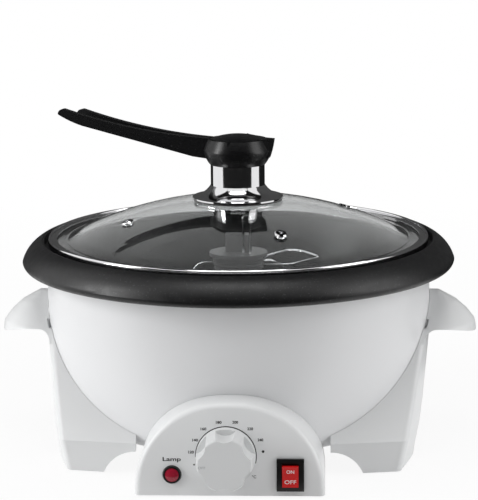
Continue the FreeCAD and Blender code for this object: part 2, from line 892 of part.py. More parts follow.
def ear_dome(name, inset):
    """The ear's half dome, which leans back from the legs' faces to a narrow crest."""
    made = body(name)
    lean = (S.band_corner_depth - S.crown_corner_depth) / (S.crown_height - S.foot_band_height)
    low = S.ear_lip - S.bracket_wall * 2
    half = S.band_corner_depth - lean * (S.ear_bottom - S.foot_band_height)
    slope = (half - S.ear_crest_half) / (S.crown_height - S.ear_bottom)
    step = (S.crown_height - inset - S.ear_bottom) / 3
    sections = [ear_section(made, low, S.ear_tip - inset, half + lean * (S.ear_bottom - low), inset)]
    for index in range(4):
        level = S.ear_bottom + step * index
        sections.append(ear_section(made, level, ridge_reach(level, inset),
                                    S.ear_crest_half + slope * (S.crown_height - level), inset))
    dome = made.newObject("PartDesign::AdditiveLoft", name + "_loft")
    dome.Profile = sections[0]
    dome.Sections = sections[1:]
    dome.Ruled = True
    return made


def ear_block(name, inset, corners):
    """The part of the half dome over the ear's drooping lip, or its hollow."""
    blank = body(name + "_blank")
    profile = sketch(blank, "XZ_Plane")
    top = S.crown_height - inset
    outline(profile, corners + [(ridge_reach(S.ear_bottom, inset), S.ear_bottom, S.ear_ridge_radius - inset),
                                (ridge_reach(top, inset), top), (S.ear_root, top)])
    push(blank, "Pad", profile, S.foot_corner_depth * 2, both=True)
    return combine("Common", name, blank, ear_dome(name + "_dome", inset))


def ear_corners():
    """The ear's underside with its heel, and the lower edge of its hollow."""
    heel = ear_heel()
    outer = heel[:-1] + [(*heel[-1], -S.ear_droop_radius), (S.ear_tip, S.ear_lip)]
    low = S.ear_lip - S.bracket_wall
    inner = [(S.ear_root, S.ear_bottom), (heel[-1][0], S.ear_bottom), (heel[-1][0], low),
             (S.ear_tip - S.bracket_wall, low)]
    return outer, inner


def bracket_floor():
    """The plates inside both feet that the bowl and the rubber pads sit on, before they are trimmed."""
    top = S.bowl_bottom - S.seat_gap
    pieces = []
    for index, side in enumerate((1, -1)):
        for name, (low_x, near), (high_x, far) in (
                ("foot_plate", (S.foot_plate_start, S.foot_plate_near),
                 (S.ear_tip, S.foot_corner_depth * 1.1)),
                ("screw_tab", (S.screw_tab_start, S.screw_tab_near),
                 (S.foot_corner_width, S.screw_tab_far))):
            low_y, high_y = (near, far) if side > 0 else (-far, -near)
            pieces.append(block(f"{name}_{index}", (low_x, low_y, S.tab_bottom), (high_x, high_y, top)))
        pieces.append(rod(f"pad_boss_{index}", S.pad_radius + S.bracket_wall / 2, top - S.foot_gap,
                          x=S.pad_x, y=side * S.pad_y, z=S.foot_gap))
    return combine("MultiFuse", "bracket_floor", *pieces)


def foot_arches():
    """Round arches through the front and rear walls, beside the bowl's bottom."""
    reach = S.foot_corner_depth * 0.7
    made = []
    for index, far in enumerate((S.foot_corner_depth * 1.2, -S.foot_corner_depth * 1.2 + reach)):
        made.append(rod(f"foot_arch_{index}", S.foot_arch_radius, reach, x=S.panel_inner_edge - S.fit_gap,
                        y=far, z=-S.foot_arch_depth, axis=V(1, 0, 0), angle=size(90)))
    return made


def side_bracket_right():
    solid_side = size(0)
    wall = S.bracket_wall
    underside, mouth = ear_corners()
    outer = combine("MultiFuse", "bracket_outer", leg_block("leg_outer", solid_side),
                    ear_block("ear_outer", solid_side, underside))
    inner = combine("MultiFuse", "bracket_inner", leg_block("leg_inner", wall),
                    ear_block("ear_inner", wall, mouth))
    shell = combine("Cut", "bracket_shell", outer, inner)
    arched = combine("Cut", "bracket_arched", shell,
                     combine("MultiFuse", "bracket_arches", side_arch(), *foot_arches()))
    floor = combine("Common", "bracket_plates", outer, bracket_floor())
    whole = combine("MultiFuse", "bracket_whole", arched, floor)
    cuts = [bowl_envelope("bracket_seat", S.fit_gap),
            bowl_envelope("ear_slot", S.ear_slot_gap, S.ear_slot_bottom, S.ear_slot_top)]
    for index, side in enumerate((1, -1)):
        cuts.append(rod(f"bracket_screw_hole_{index}", S.screw_radius + S.shaft_gap, S.bowl_bottom,
                        x=S.bracket_screw_x, y=side * S.bracket_screw_y))
        cuts.append(rod(f"pad_recess_{index}", S.pad_radius + S.shaft_gap, S.pad_height,
                        x=S.pad_x, y=side * S.pad_y))
    cut = combine("Cut", "side_bracket_right", whole, combine("MultiFuse", "bracket_cuts", *cuts))
    return node(cut, "side_bracket_right")


def side_arch():
    """The arch between the front and rear feet."""
    made = body("side_arch")
    profile = sketch(made, "YZ_Plane", S.panel_inner_edge)
    half = S.side_arch_half
    rise = S.side_arch_height - S.side_arch_spring
    bend = (half * half + rise * rise) / (2 * rise)
    spring = S.side_arch_spring
    outline(profile, [(-half, -S.overcut), (half, -S.overcut), (half, spring, bend), (-half, spring)])
    push(made, "Pad", profile, S.ear_tip)
    return made


def side_bracket_left(right):
    made = DOC.addObject("Part::Mirroring", "side_bracket_left")
    made.Source = right
    made.Normal = V(1, 0, 0)
    return node(made, "side_bracket_left")


def foot_pads():
    made = body("foot_pads")
    pads = sketch(made, "XY_Plane")
    for x, y in screw_places(S.pad_x, S.pad_y):
        circle(pads, x, y, S.pad_radius)
    push(made, "Pad", pads, S.pad_height)
    return node(made, "foot_pads")


# ---------------------------------------------------------------- control housing and what it carries
def face_place(x=None, height=None):
    """A place on the tilted face: x across, height up along the face, own Z straight out of it."""
    rise = size(height if height is not None else 0)
    return {"x": x, "y": -S.panel_front + rise * sine(S.panel_tilt), "z": rise * cosine(S.panel_tilt),
            "axis": V(1, 0, 0), "angle": 90 - S.panel_tilt}


def arch(inset, bottom):
    """The housing's outline on its face: an arch of two arcs with a short flat top."""
    radius = S.housing_arch_radius - inset
    half = S.housing_arch_offset + radius
    rise = S.housing_arch_rise
    return [(-half, bottom), (half, bottom), (half, rise, radius), (S.housing_arch_offset, rise + radius),
            (-S.housing_arch_offset, rise + radius, radius), (-half, rise)]


def face_edges(feature, level):
    """Names of the edges that lie on a body's front face, apart from its straight bottom edge."""
    names = []
    for index, edge in enumerate(feature.Shape.Edges, start=1):
        box = edge.BoundBox
        on_face = abs(box.ZMin - level) < 1e-6 and abs(box.ZMax - level) < 1e-6
        if on_face and box.YMax > 0:
            names.append(f"Edge{index}")
    return names


def control_housing():
    made = body("housing_blank")
    place(made, **face_place())
    face = sketch(made, "XY_Plane")
    outline(face, arch(size(0), -S.housing_depth / 4))
    front = push(made, "Pad", face, S.housing_depth, reverse=True)
    DOC.recompute()
    rounding = made.newObject("PartDesign::Fillet", "housing_rounding")
    rounding.Base = (front, face_edges(front, 0))
    rounding.Radius = S.housing_round.value
    rounding.setExpression("Radius", S.housing_round.text)
    hollow = sketch(made, "XY_Plane", -S.housing_wall)
    outline(hollow, arch(S.housing_wall, -S.housing_depth / 3))
    push(made, "Pocket", hollow, S.housing_depth - 2 * S.housing_wall)
    under = sketch(made, "YZ_Plane")
    past = S.under_cut
    back = -S.housing_depth
    far = back - past
    lean = sine(S.panel_tilt) / cosine(S.panel_tilt)
    level = S.housing_floor / cosine(S.panel_tilt)
    outline(under, [(level - past * lean, past), (back, past), (back, far), (level - far * lean, far)])
    push(made, "Pocket", under, S.housing_arch_radius * 4, both=True)
    holes = sketch(made, "XY_Plane")
    circle(holes, -S.dial_offset, S.dial_height, S.dial_shaft_radius + S.fit_gap)
    circle(holes, -S.lamp_offset, S.lamp_height, S.lamp_barrel_radius + S.shaft_gap)
    for side in (1, -1):
        circle(holes, side * S.thermostat_screw_x - S.dial_offset, S.dial_height,
               S.screw_radius + S.shaft_gap)
    rectangle(holes, S.switch_offset - S.switch_body_width / 2 - S.shaft_gap,
              S.switch_height - S.switch_body_tall / 2 - S.shaft_gap,
              S.switch_offset + S.switch_body_width / 2 + S.shaft_gap,
              S.switch_height + S.switch_body_tall / 2 + S.shaft_gap)
    push(made, "Pocket", holes, S.housing_wall + S.overcut)
    cut = combine("Cut", "control_housing", made, bowl_envelope("housing_seat", S.fit_gap))
    return node(cut, "control_housing")


def control_floor():
    low_y = -S.panel_front + S.housing_wall + S.seat_gap * 2
    high_y = -(S.panel_front - (S.housing_depth - S.housing_wall) * cosine(S.panel_tilt)) - S.seat_gap * 2
    half = S.housing_arch_offset + S.housing_arch_radius - S.housing_wall - S.seat_gap
    top = S.housing_floor + S.floor_wall
    made = block("control_floor", (-half, low_y, S.housing_floor), (half, high_y, top))
    return node(made, "control_floor")


def terminal_block():
    half = S.terminal_length / 2
    base = S.housing_floor + S.floor_wall
    middle = S.panel_front - S.housing_depth / 2 - S.terminal_width / 2
    blank = block("terminal_blank", (-half, -middle - S.terminal_width, base),
                  (half, -middle, base + S.terminal_height))
    wells = [rod(f"terminal_well_{index}", S.screw_radius, S.terminal_height, x=half * offset,
                 y=-middle - S.terminal_width / 2, z=base + S.terminal_height / 2)
             for index, offset in enumerate((-S.terminal_pitch, 0, S.terminal_pitch))]
    return node(combine("Cut", "terminal_block", blank, combine("MultiFuse", "terminal_wells", *wells)),
                "terminal_block")


def thermostat_body():
    made = body("thermostat_body")
    place(made, **face_place(-S.dial_offset, S.dial_height))
    case = sketch(made, "XY_Plane", -S.housing_wall)
    half, tall = S.thermostat_width / 2, S.thermostat_tall / 2
    rectangle(case, -half, -tall, half, tall)
    push(made, "Pad", case, S.thermostat_depth, reverse=True)
    spades = sketch(made, "XY_Plane", -(S.housing_wall + S.thermostat_depth))
    for side in (1, -1):
        low = side * S.thermostat_width / 4 - S.spade_width / 2
        rectangle(spades, low, -S.spade_wall / 2, low + S.spade_width, S.spade_wall / 2)
    push(made, "Pad", spades, S.spade_length, reverse=True)
    holes = sketch(made, "XY_Plane", -S.housing_wall)
    circle(holes, 0, 0, S.dial_shaft_radius + S.shaft_gap)
    for side in (1, -1):
        circle(holes, side * S.thermostat_screw_x, 0, S.screw_radius)
    push(made, "Pocket", holes, S.thermostat_shaft_depth)
    return node(made, "thermostat_body")


def thermostat_screws():
    made = body("thermostat_screws")
    place(made, **face_place(-S.dial_offset, S.dial_height))
    for radius, length, reverse in ((S.screw_head_radius, S.screw_head_height, False),
                                    (S.screw_radius, S.thermostat_screw_length, True)):
        drawing = sketch(made, "XY_Plane")
        for side in (1, -1):
            circle(drawing, side * S.thermostat_screw_x, 0, radius)
        push(made, "Pad", drawing, length, reverse=reverse)
    return node(made, "thermostat_screws")


def thermostat_shaft():
    made = body("thermostat_shaft")
    place(made, **face_place(-S.dial_offset, S.dial_height))
    inner_end = -(S.housing_wall + S.thermostat_shaft_depth - S.seat_gap)
    post(made, 0, 0, S.dial_shaft_radius, inner_end, S.dial_shaft_top - inner_end)
    flat = sketch(made, "XY_Plane", S.dial_shaft_top)
    wide = S.dial_shaft_radius * 2
    rectangle(flat, -wide, S.dial_shaft_flat, wide, wide)
    push(made, "Pocket", flat, S.dial_shaft_top - S.dial_shaft_flat_start)
    return node(made, "thermostat_shaft")


def temperature_knob():
    made = body("temperature_knob")
    place(made, **face_place(-S.dial_offset, S.dial_height))
    gap = S.seat_gap
    roof = S.dial_depth - S.dial_wall
    hollow = S.dial_grip_radius - S.dial_lobe_cut - S.dial_wall
    turn(made, "Revolution", [(0, S.dial_shaft_flat_start), (S.dial_core_radius, S.dial_shaft_flat_start),
                              (S.dial_core_radius, roof), (hollow, roof), (hollow, gap), (S.dial_radius, gap),
                              (S.dial_radius, gap + S.dial_skirt),
                              (S.dial_grip_radius, S.dial_depth - S.dial_round, S.dial_round),
                              (S.dial_grip_radius - S.dial_round, S.dial_depth), (0, S.dial_depth)])
    lobes = sketch(made, "XY_Plane", S.dial_depth)
    circle(lobes, 0, S.dial_grip_radius + S.dial_lobe_radius - S.dial_lobe_cut, S.dial_lobe_radius)
    lobe = push(made, "Pocket", lobes, S.dial_depth - S.dial_taper_start)
    around(made, [lobe], 6)
    bore = sketch(made, "XY_Plane", S.dial_shaft_flat_start)
    chord = S.dial_shaft_flat + S.shaft_gap
    radius = S.dial_shaft_radius + S.shaft_gap
    half = root(radius * radius - chord * chord)
    drawn = [(-half, chord, radius), (0, -radius, radius), (half, chord)]
    outline(bore, drawn)
    made.Tip = push(made, "Pocket", bore, S.dial_shaft_top + gap - S.dial_shaft_flat_start, reverse=True)
    return node(made, "temperature_knob")


def lamp_bezel():
    made = body("lamp_bezel")
    place(made, **face_place(-S.lamp_offset, S.lamp_height))
    bore = S.lens_radius + S.shaft_gap
    turn(made, "Revolution", [(bore, -S.lamp_depth), (S.lamp_barrel_radius, -S.lamp_depth),
                              (S.lamp_barrel_radius, 0), (S.lamp_radius, 0),
                              (S.lamp_radius - S.lamp_chamfer, S.lamp_rim), (bore, S.lamp_rim)])
    return node(made, "lamp_bezel")


def lamp_lens():
    made = body("lamp_lens")
    place(made, **face_place(-S.lamp_offset, S.lamp_height))
    crown = S.lamp_rim + S.lens_crown
    bulge = S.lens_bulge
    dome = (S.lens_radius * S.lens_radius + bulge * bulge) / (2 * bulge)
    turn(made, "Revolution", [(0, -S.lamp_depth / 2), (S.lens_radius, -S.lamp_depth / 2),
                              (S.lens_radius, crown - bulge, dome), (0, crown)])
    return node(made, "lamp_lens")


def lamp_bulb():
    made = body("lamp_bulb")
    place(made, **face_place(-S.lamp_offset, S.lamp_height))
    half = S.bulb_radius
    tail = -S.lamp_depth - S.bulb_tail
    turn(made, "Revolution", [(0, tail), (half, tail),
                              (half, -S.lamp_depth / 2 - half - S.seat_gap, half),
                              (0, -S.lamp_depth / 2 - S.seat_gap)])
    return node(made, "lamp_bulb")


def switch_housing():
    made = body("switch_housing")
    place(made, **face_place(S.switch_offset, S.switch_height))
    bezel = sketch(made, "XY_Plane")
    rectangle(bezel, -S.switch_width / 2, -S.switch_tall / 2, S.switch_width / 2, S.switch_tall / 2)
    push(made, "Pad", bezel, S.switch_rim)
    case = sketch(made, "XY_Plane")
    half, tall = S.switch_body_width / 2, S.switch_body_tall / 2
    rectangle(case, -half, -tall, half, tall)
    push(made, "Pad", case, S.switch_body_depth, reverse=True)
    well = sketch(made, "XY_Plane", S.switch_rim)
    rectangle(well, -S.rocker_width / 2 - S.fit_gap, -S.rocker_tall / 2 - S.rocker_play,
              S.rocker_width / 2 + S.fit_gap, S.rocker_tall / 2 + S.rocker_play)
    push(made, "Pocket", well, S.switch_rim + S.rocker_drop + S.rocker_play * 2)
    spades = sketch(made, "XY_Plane", -S.switch_body_depth)
    for row in (-1, 1):
        middle = row * S.switch_body_tall / 4
        rectangle(spades, -S.spade_width / 2, middle - S.spade_wall / 2,
                  S.spade_width / 2, middle + S.spade_wall / 2)
    push(made, "Pad", spades, S.spade_length, reverse=True)
    return node(made, "switch_housing")


def switch_rocker():
    """A rocker with a shallow V across its top, its upper end out; it turns about X, level with the face."""
    made = body("switch_rocker")
    seat = face_place(S.switch_offset, S.switch_height)
    seat["angle"] = seat["angle"] + S.rocker_tilt
    place(made, **seat)
    profile = sketch(made, "YZ_Plane")
    half = S.rocker_tall / 2
    foot = S.rocker_foot / 2
    low = S.rocker_height - S.rocker_edge
    dip = S.rocker_height - S.rocker_dip
    outline(profile, [(-foot, -S.rocker_drop), (foot, -S.rocker_drop), (half, low), (half, S.rocker_height),
                      (0, dip), (-half, S.rocker_height), (-half, low)])
    push(made, "Pad", profile, S.rocker_width, both=True)
    return node(made, "switch_rocker")


# ---------------------------------------------------------------- pan and its seat
def bend_points(corner_x, corner_z, across, rise, radius):
    """Where a rounded corner starts on the leaning wall above it and ends on the floor inside it."""
    length = root(across * across + rise * rise)
    reach = radius * (length - across) / rise
    return ((corner_x + reach * across / length, corner_z + reach * rise / length),
            (corner_x - reach, corner_z))


def pan():
    made = body("pan")
    wall = S.pan_wall
    across = S.pan_mouth_radius - S.pan_floor_radius
    rise = S.pan_ledge_top - S.pan_floor_top
    length = root(across * across + rise * rise)
    inner = bend_points(S.pan_floor_radius, S.pan_floor_top, across, rise, S.pan_corner_radius)
    step = wall * (length - across) / rise
    outer = bend_points(S.pan_floor_radius + step, S.pan_floor_top - wall, across, rise,
                        S.pan_corner_radius + wall)
    ledge_under = S.pan_ledge_top - wall
    wall_under = S.pan_mouth_radius + wall * length / rise - wall * across / rise
    lip = S.pan_lip_radius
    rim = S.pan_rim_radius
    inside = lip - S.lip_wall
    neck = S.pan_neck_radius
    mouth = S.pan_mouth_radius
    turn(made, "Revolution", [
        (rim - S.rim_tuck, S.pan_rim_bottom, S.rim_curl_radius), (rim, S.pan_rim_height, S.rim_curve_radius),
        (lip, S.pan_lip_top), (inside, S.pan_lip_top - S.lip_chamfer), (inside - S.lip_lean, S.pan_ledge_top),
        (mouth + S.mouth_edge_out, S.pan_ledge_top),
        (mouth - S.mouth_edge_in, S.pan_ledge_top - S.mouth_edge_drop),
        (*inner[0], -S.pan_corner_radius), inner[1],
        (neck + S.pan_neck_chamfer, S.pan_floor_top), (neck, S.pan_floor_top + S.pan_neck_chamfer),
        (neck - S.pan_neck_taper, S.pan_neck_top),
        (S.bush_radius, S.pan_neck_top), (S.bush_radius, S.pan_floor_top - wall),
        (*outer[1], S.pan_corner_radius + wall), outer[0],
        (wall_under, ledge_under), (lip - S.rim_root_in, ledge_under),
        (lip + S.rim_root_out, ledge_under + S.rim_root_rise, -S.rim_curve_radius + wall),
        (rim - S.rim_skin, S.pan_rim_height + S.rim_skin_rise),
        (rim - S.curl_in, S.pan_rim_bottom + S.curl_rise)])
    return node(made, "pan")


def pan_seat_ring():
    """The heat-resistant ring that hooks over the bowl's edge and carries the pan's ledge."""
    made = body("pan_seat_ring")
    hook = S.bowl_radius - S.bowl_wall - S.fit_gap
    top = S.pan_ledge_top - S.pan_wall
    out = S.bowl_radius + S.seat_ring_out
    back = S.bowl_radius - S.seat_ring_in
    turn(made, "Revolution", [(hook - S.seat_ring_wall, S.bowl_top - S.seat_ring_hook),
                              (hook, S.bowl_top - S.seat_ring_hook), (hook, S.bowl_top),
                              (out, S.bowl_top), (out, top), (back, top),
                              (back, S.bowl_top + S.seat_ring_step),
                              (hook - S.seat_ring_wall, S.bowl_top + S.seat_ring_wall)])
    return node(made, "pan_seat_ring")


# ---------------------------------------------------------------- heating and drive under the pan
def heating_element():
    ring = DOC.addObject("Part::Torus", "element_ring")
    ring.Radius1 = S.element_radius.value
    ring.Radius2 = S.element_tube_radius.value
    ring.setExpression("Radius1", S.element_radius.text)
    ring.setExpression("Radius2", S.element_tube_radius.text)
    middle = S.pan_floor_top - S.pan_wall - S.seat_gap - S.element_tube_radius
    place(ring, z=middle)
    tails = [rod(f"element_tail_{index}", S.element_tube_radius * S.element_tail_scale, S.element_tail,
                 x=side * S.element_tail_gap, y=-S.element_radius, z=middle - S.element_tail)
             for index, side in enumerate((1, -1))]
    return node(combine("MultiFuse", "heating_element", ring, *tails), "heating_element")


def element_clips():
    """Ceramic cradles that hold the element's ring up on the heat shield."""
    low = S.bracket_plate_top + S.shield_wall
    middle = S.pan_floor_top - S.pan_wall - S.seat_gap - S.element_tube_radius
    made = body("clip_blanks")
    side = S.element_tube_radius + S.clip_wall
    drawing = sketch(made, "XY_Plane", low)
    rectangle(drawing, S.element_radius - side, -S.clip_width / 2, S.element_radius + side, S.clip_width / 2)
    clip = push(made, "Pad", drawing, middle - low)
    around(made, [clip], 3)
    groove = DOC.addObject("Part::Torus", "element_groove")
    tube = S.element_tube_radius + S.shaft_gap
    groove.Radius1 = S.element_radius.value
    groove.Radius2 = tube.value
    groove.setExpression("Radius1", S.element_radius.text)
    groove.setExpression("Radius2", tube.text)
    place(groove, z=middle)
    return node(combine("Cut", "element_clips", made, groove), "element_clips")


def heat_shield():
    made = body("heat_shield")
    bottom = S.bracket_plate_top
    turn(made, "Revolution", [(S.shield_bore, bottom), (S.shield_radius, bottom),
                              (S.shield_radius + S.plate_wall, bottom + S.shield_lip),
                              (S.shield_radius, bottom + S.shield_lip), (S.shield_radius - S.plate_wall,
                                                                         bottom + S.shield_wall),
                              (S.shield_bore, bottom + S.shield_wall)])
    holes = sketch(made, "XY_Plane", bottom)
    for side in (1, -1):
        circle(holes, side * S.element_tail_gap, -S.element_radius, S.element_tube_radius + S.tail_clearance)
    push(made, "Pocket", holes, S.shield_lip, reverse=True)
    return node(made, "heat_shield")


def motor_bracket():
    made = body("motor_bracket")
    wall = S.plate_wall
    floor = S.bowl_bottom + S.bowl_wall
    top = S.bracket_plate_top
    leg = S.motor_bracket_half
    foot = S.motor_bracket_foot
    profile = sketch(made, "XZ_Plane")
    outline(profile, [(-foot, floor), (-leg, floor), (-leg, top - wall), (leg, top - wall), (leg, floor),
                      (foot, floor), (foot, floor + wall), (leg + wall, floor + wall), (leg + wall, top),
                      (-leg - wall, top), (-leg - wall, floor + wall), (-foot, floor + wall)])
    push(made, "Pad", profile, S.motor_bracket_width, both=True)
    holes = sketch(made, "XY_Plane")
    circle(holes, 0, 0, S.shaft_radius + S.tail_clearance)
    for x, y in screw_places(S.motor_foot_x, S.motor_foot_y):
        circle(holes, x, y, S.screw_radius + S.shaft_gap)
    for side in (1, -1):
        circle(holes, side * S.motor_screw_x, 0, S.screw_radius + S.shaft_gap)
    push(made, "Pocket", holes, top + S.overcut, reverse=True)
    return node(made, "motor_bracket")


def gear_motor():
    made = body("gear_motor")
    top = S.bracket_plate_top - S.plate_wall
    post(made, 0, 0, S.motor_radius, top - S.motor_height, S.motor_height)
    plug = sketch(made, "XY_Plane", top - S.motor_height)
    rectangle(plug, -S.spade_width, -S.motor_radius - S.spade_width, S.spade_width, -S.motor_radius / 2)
    push(made, "Pad", plug, S.motor_height / 2)
    holes = sketch(made, "XY_Plane", top)
    circle(holes, 0, 0, S.shaft_radius + S.shaft_gap)
    for side in (1, -1):
        circle(holes, side * S.motor_screw_x, 0, S.screw_radius)
    push(made, "Pocket", holes, S.motor_bore_depth)
    return node(made, "gear_motor")


def motor_screws():
    made = body("motor_screws")
    top = S.bracket_plate_top
    for radius, bottom, height in ((S.screw_head_radius, top, S.screw_head_height),
                                   (S.screw_radius, top - S.motor_screw_length, S.motor_screw_length)):
        drawing = sketch(made, "XY_Plane", bottom)
        for side in (1, -1):
            circle(drawing, side * S.motor_screw_x, 0, radius)
        push(made, "Pad", drawing, height)
    return node(made, "motor_screws")


def drive_shaft():
    made = body("drive_shaft")
    bottom = S.bracket_plate_top - S.plate_wall - S.motor_bore_depth + S.seat_gap
    post(made, 0, 0, S.shaft_radius, bottom, S.shaft_top - bottom)
    return node(made, "drive_shaft")


def shaft_bush():
    made = body("shaft_bush")
    bore = S.shaft_radius + S.shaft_gap
    bottom = S.pan_floor_top - S.pan_wall
    top = S.pan_neck_top
    flange = S.bush_radius + S.bush_flange
    under = bottom - S.bush_flange_wall
    turn(made, "Revolution", [(bore, under), (flange, under), (flange, bottom),
                              (S.bush_radius, bottom), (S.bush_radius, top), (bore, top)])
    return node(made, "shaft_bush")


def thermostat_bulb():
    """The sensing bulb, level under the pan floor, behind the motor."""
    drop = S.pan_floor_top - S.pan_wall - S.seat_gap - S.bulb_tube_radius
    made = rod("thermostat_bulb", S.bulb_tube_radius, S.bulb_tube_length, x=-S.bulb_tube_length / 2,
               y=S.bulb_place, z=drop, axis=V(0, 1, 0), angle=size(90))
    return node(made, "thermostat_bulb")


def thermal_fuse():
    drop = S.pan_floor_top - S.pan_wall - S.seat_gap - S.fuse_radius
    made = rod("thermal_fuse", S.fuse_radius, S.fuse_length, x=-S.fuse_length / 2,
               y=-S.bulb_place, z=drop, axis=V(0, 1, 0), angle=size(90))
    return node(made, "thermal_fuse")


def cord_gland():
    made = body("cord_gland")
    place(made, **gland_seat())
    wall = S.bowl_wall
    turn(made, "Revolution", [(S.gland_bore, -S.gland_length / 2), (S.gland_radius, -S.gland_length / 2),
                              (S.gland_radius, S.seat_gap), (S.gland_radius + S.gland_flange, S.seat_gap),
                              (S.gland_radius + S.gland_flange, S.seat_gap + wall),
                              (S.gland_bore + S.gland_nose_wall, S.gland_length / 2),
                              (S.gland_bore, S.gland_length / 2)])
    return node(made, "cord_gland")


# ---------------------------------------------------------------- stirrer
def stirrer_hub():
    made = body("stirrer_hub")
    bottom = S.pan_floor_top + S.hub_lift
    disc = S.hub_disc_top - S.hub_disc_wall
    neck = S.hub_neck_radius
    rings = []
    for index in range(4):
        level = disc - S.hub_rib_pitch * (4 - index)
        rings += [(neck, level), (neck + S.hub_rib, level + S.hub_rib_start),
                  (neck + S.hub_rib, level + S.hub_rib_end), (neck, level + S.hub_rib_foot)]
    cavity = S.pan_neck_radius + S.hub_clearance
    ceiling = S.pan_neck_top + S.hub_clearance
    bore = S.shaft_radius + S.shaft_gap / 2
    wide = S.hub_disc_radius
    crown = [(neck, disc), (wide, disc), (wide, S.hub_disc_top), (0, S.hub_disc_top)]
    end = S.shaft_top + S.seat_gap
    turn(made, "Revolution", [(0, end), (bore, end), (bore, ceiling),
                              (cavity, ceiling), (cavity, bottom), (S.hub_foot_radius, bottom),
                              (S.hub_foot_radius, bottom + S.hub_wall, -S.hub_sweep_radius),
                              (neck, disc - S.hub_rib_pitch * 5)] + rings + crown)
    return node(made, "stirrer_hub")


def stirrer_grip():
    made = body("stirrer_grip")
    drawing = sketch(made, "XY_Plane", S.hub_disc_top)
    rectangle(drawing, -S.grip_width / 2, -S.grip_depth / 2, S.grip_width / 2, S.grip_depth / 2)
    push(made, "Pad", drawing, S.grip_height)
    return node(made, "stirrer_grip")


def bent_wire(points, radius, bend):
    """A round wire along straight runs joined by tangent arcs of one bend radius."""
    spots = [V(*point) for point in points]
    edges = []
    start = spots[0]
    for before, corner, after in zip(spots, spots[1:], spots[2:]):
        into = (corner - before).normalize()
        out = (after - corner).normalize()
        half = into.getAngle(out) / 2
        reach = bend * math.tan(half)
        first = corner - into * reach
        last = corner + out * reach
        middle = corner + (out - into).normalize() * (bend / math.cos(half) - bend)
        edges.append(Part.LineSegment(start, first).toShape())
        edges.append(Part.Arc(first, middle, last).toShape())
        start = last
    edges.append(Part.LineSegment(start, spots[-1]).toShape())
    path = Part.Wire(edges)
    ring = Part.Wire([Part.Circle(spots[0], spots[1] - spots[0], radius).toShape()])
    return path.makePipeShell([ring], True, True)


def stirrer_arms():
    """Two main wires that drop from the hub and sweep the pan floor, and one loop that breaks the heap."""
    start = S.hub_neck_radius.value + S.hub_rib.value + S.seat_gap.value
    high = S.hub_disc_top.value - S.hub_disc_wall.value - S.hub_rib_pitch.value
    floor = S.pan_floor_top.value + S.hub_lift.value + S.wire_radius.value + S.seat_gap.value
    tip = S.arm_reach.value
    rise = S.arm_tip_rise.value
    wire = S.wire_radius.value
    bend = S.arm_bend.value
    shapes = []
    for turned in (0, 180):
        run = bent_wire([(start, 0, high), (S.arm_shoulder.value, 0, high), (S.arm_heel.value, 0, floor),
                         (tip - rise, 0, floor), (tip, 0, floor + rise)], wire, S.sweep_bend.value)
        run.rotate(V(0, 0, 0), V(0, 0, 1), turned + S.arm_turn.value)
        shapes.append(run)
    drop = S.breaker_drop.value
    ends = []
    for angle, height in ((S.breaker_start.value, high), (S.breaker_end.value, high - 2 * drop)):
        ends.append((start * math.cos(math.radians(angle)), start * math.sin(math.radians(angle)), height))
    loop = [ends[0], (S.breaker_rear_x.value, S.breaker_rear_y.value, high - drop),
            (S.breaker_side_x.value, S.breaker_side_y.value, high - drop),
            (S.breaker_front_x.value, S.breaker_front_y.value, high - 2 * drop), ends[1]]
    shapes.append(bent_wire(loop, wire, bend))
    return node(solid("stirrer_arms", Part.Compound(shapes)), "stirrer_arms")


def lift_loop():
    """The hairpin on top of the stirrer that it is lifted out by."""
    half = S.loop_half.value
    low = S.hub_disc_top.value
    high = low + S.loop_height.value
    front = -(S.grip_depth.value / 2 + S.wire_radius.value + S.seat_gap.value)
    middle = S.loop_place.value
    run = bent_wire([(middle - half, front, low), (middle - half, front, high), (middle + half, front, high),
                     (middle + half, front, low)], S.loop_wire.value, S.loop_bend.value)
    return node(solid("lift_loop", run), "lift_loop")


# ---------------------------------------------------------------- lid
def glass_height(radius, inset=0):
    """Height of the dome's outer face, or of the face inset below it, at a radius."""
    sphere = S.glass_sphere_radius
    curve = sphere - inset
    return S.glass_apex - sphere + root(curve * curve - radius * radius)


def vent_places():
    """Where each vent crosses the dome, with the tilt of the dome there."""
    lean = arc_sine(S.vent_circle_radius / S.glass_sphere_radius)
    spots = []
    for index in range(4):
        spots.append((S.vent_turn + 90 * index, lean))
    return spots


def tilt_to_dome(thing, azimuth, lean, out):
    """Stands an object on the dome at an azimuth, its Z axis along the dome's normal, out beyond the face."""
    along = S.glass_sphere_radius + out
    spot = [along * sine(lean) * cosine(azimuth), along * sine(lean) * sine(azimuth),
            S.glass_apex - S.glass_sphere_radius + along * cosine(lean)]
    turned = FreeCAD.Rotation(V(0, 0, 1), azimuth.value) * FreeCAD.Rotation(V(0, 1, 0), lean.value)
    thing.Placement = FreeCAD.Placement(V(*[value.value for value in spot]), turned)
    for letter, value in zip("xyz", spot):
        thing.setExpression(f"Placement.Base.{letter}", value.text)
    return thing


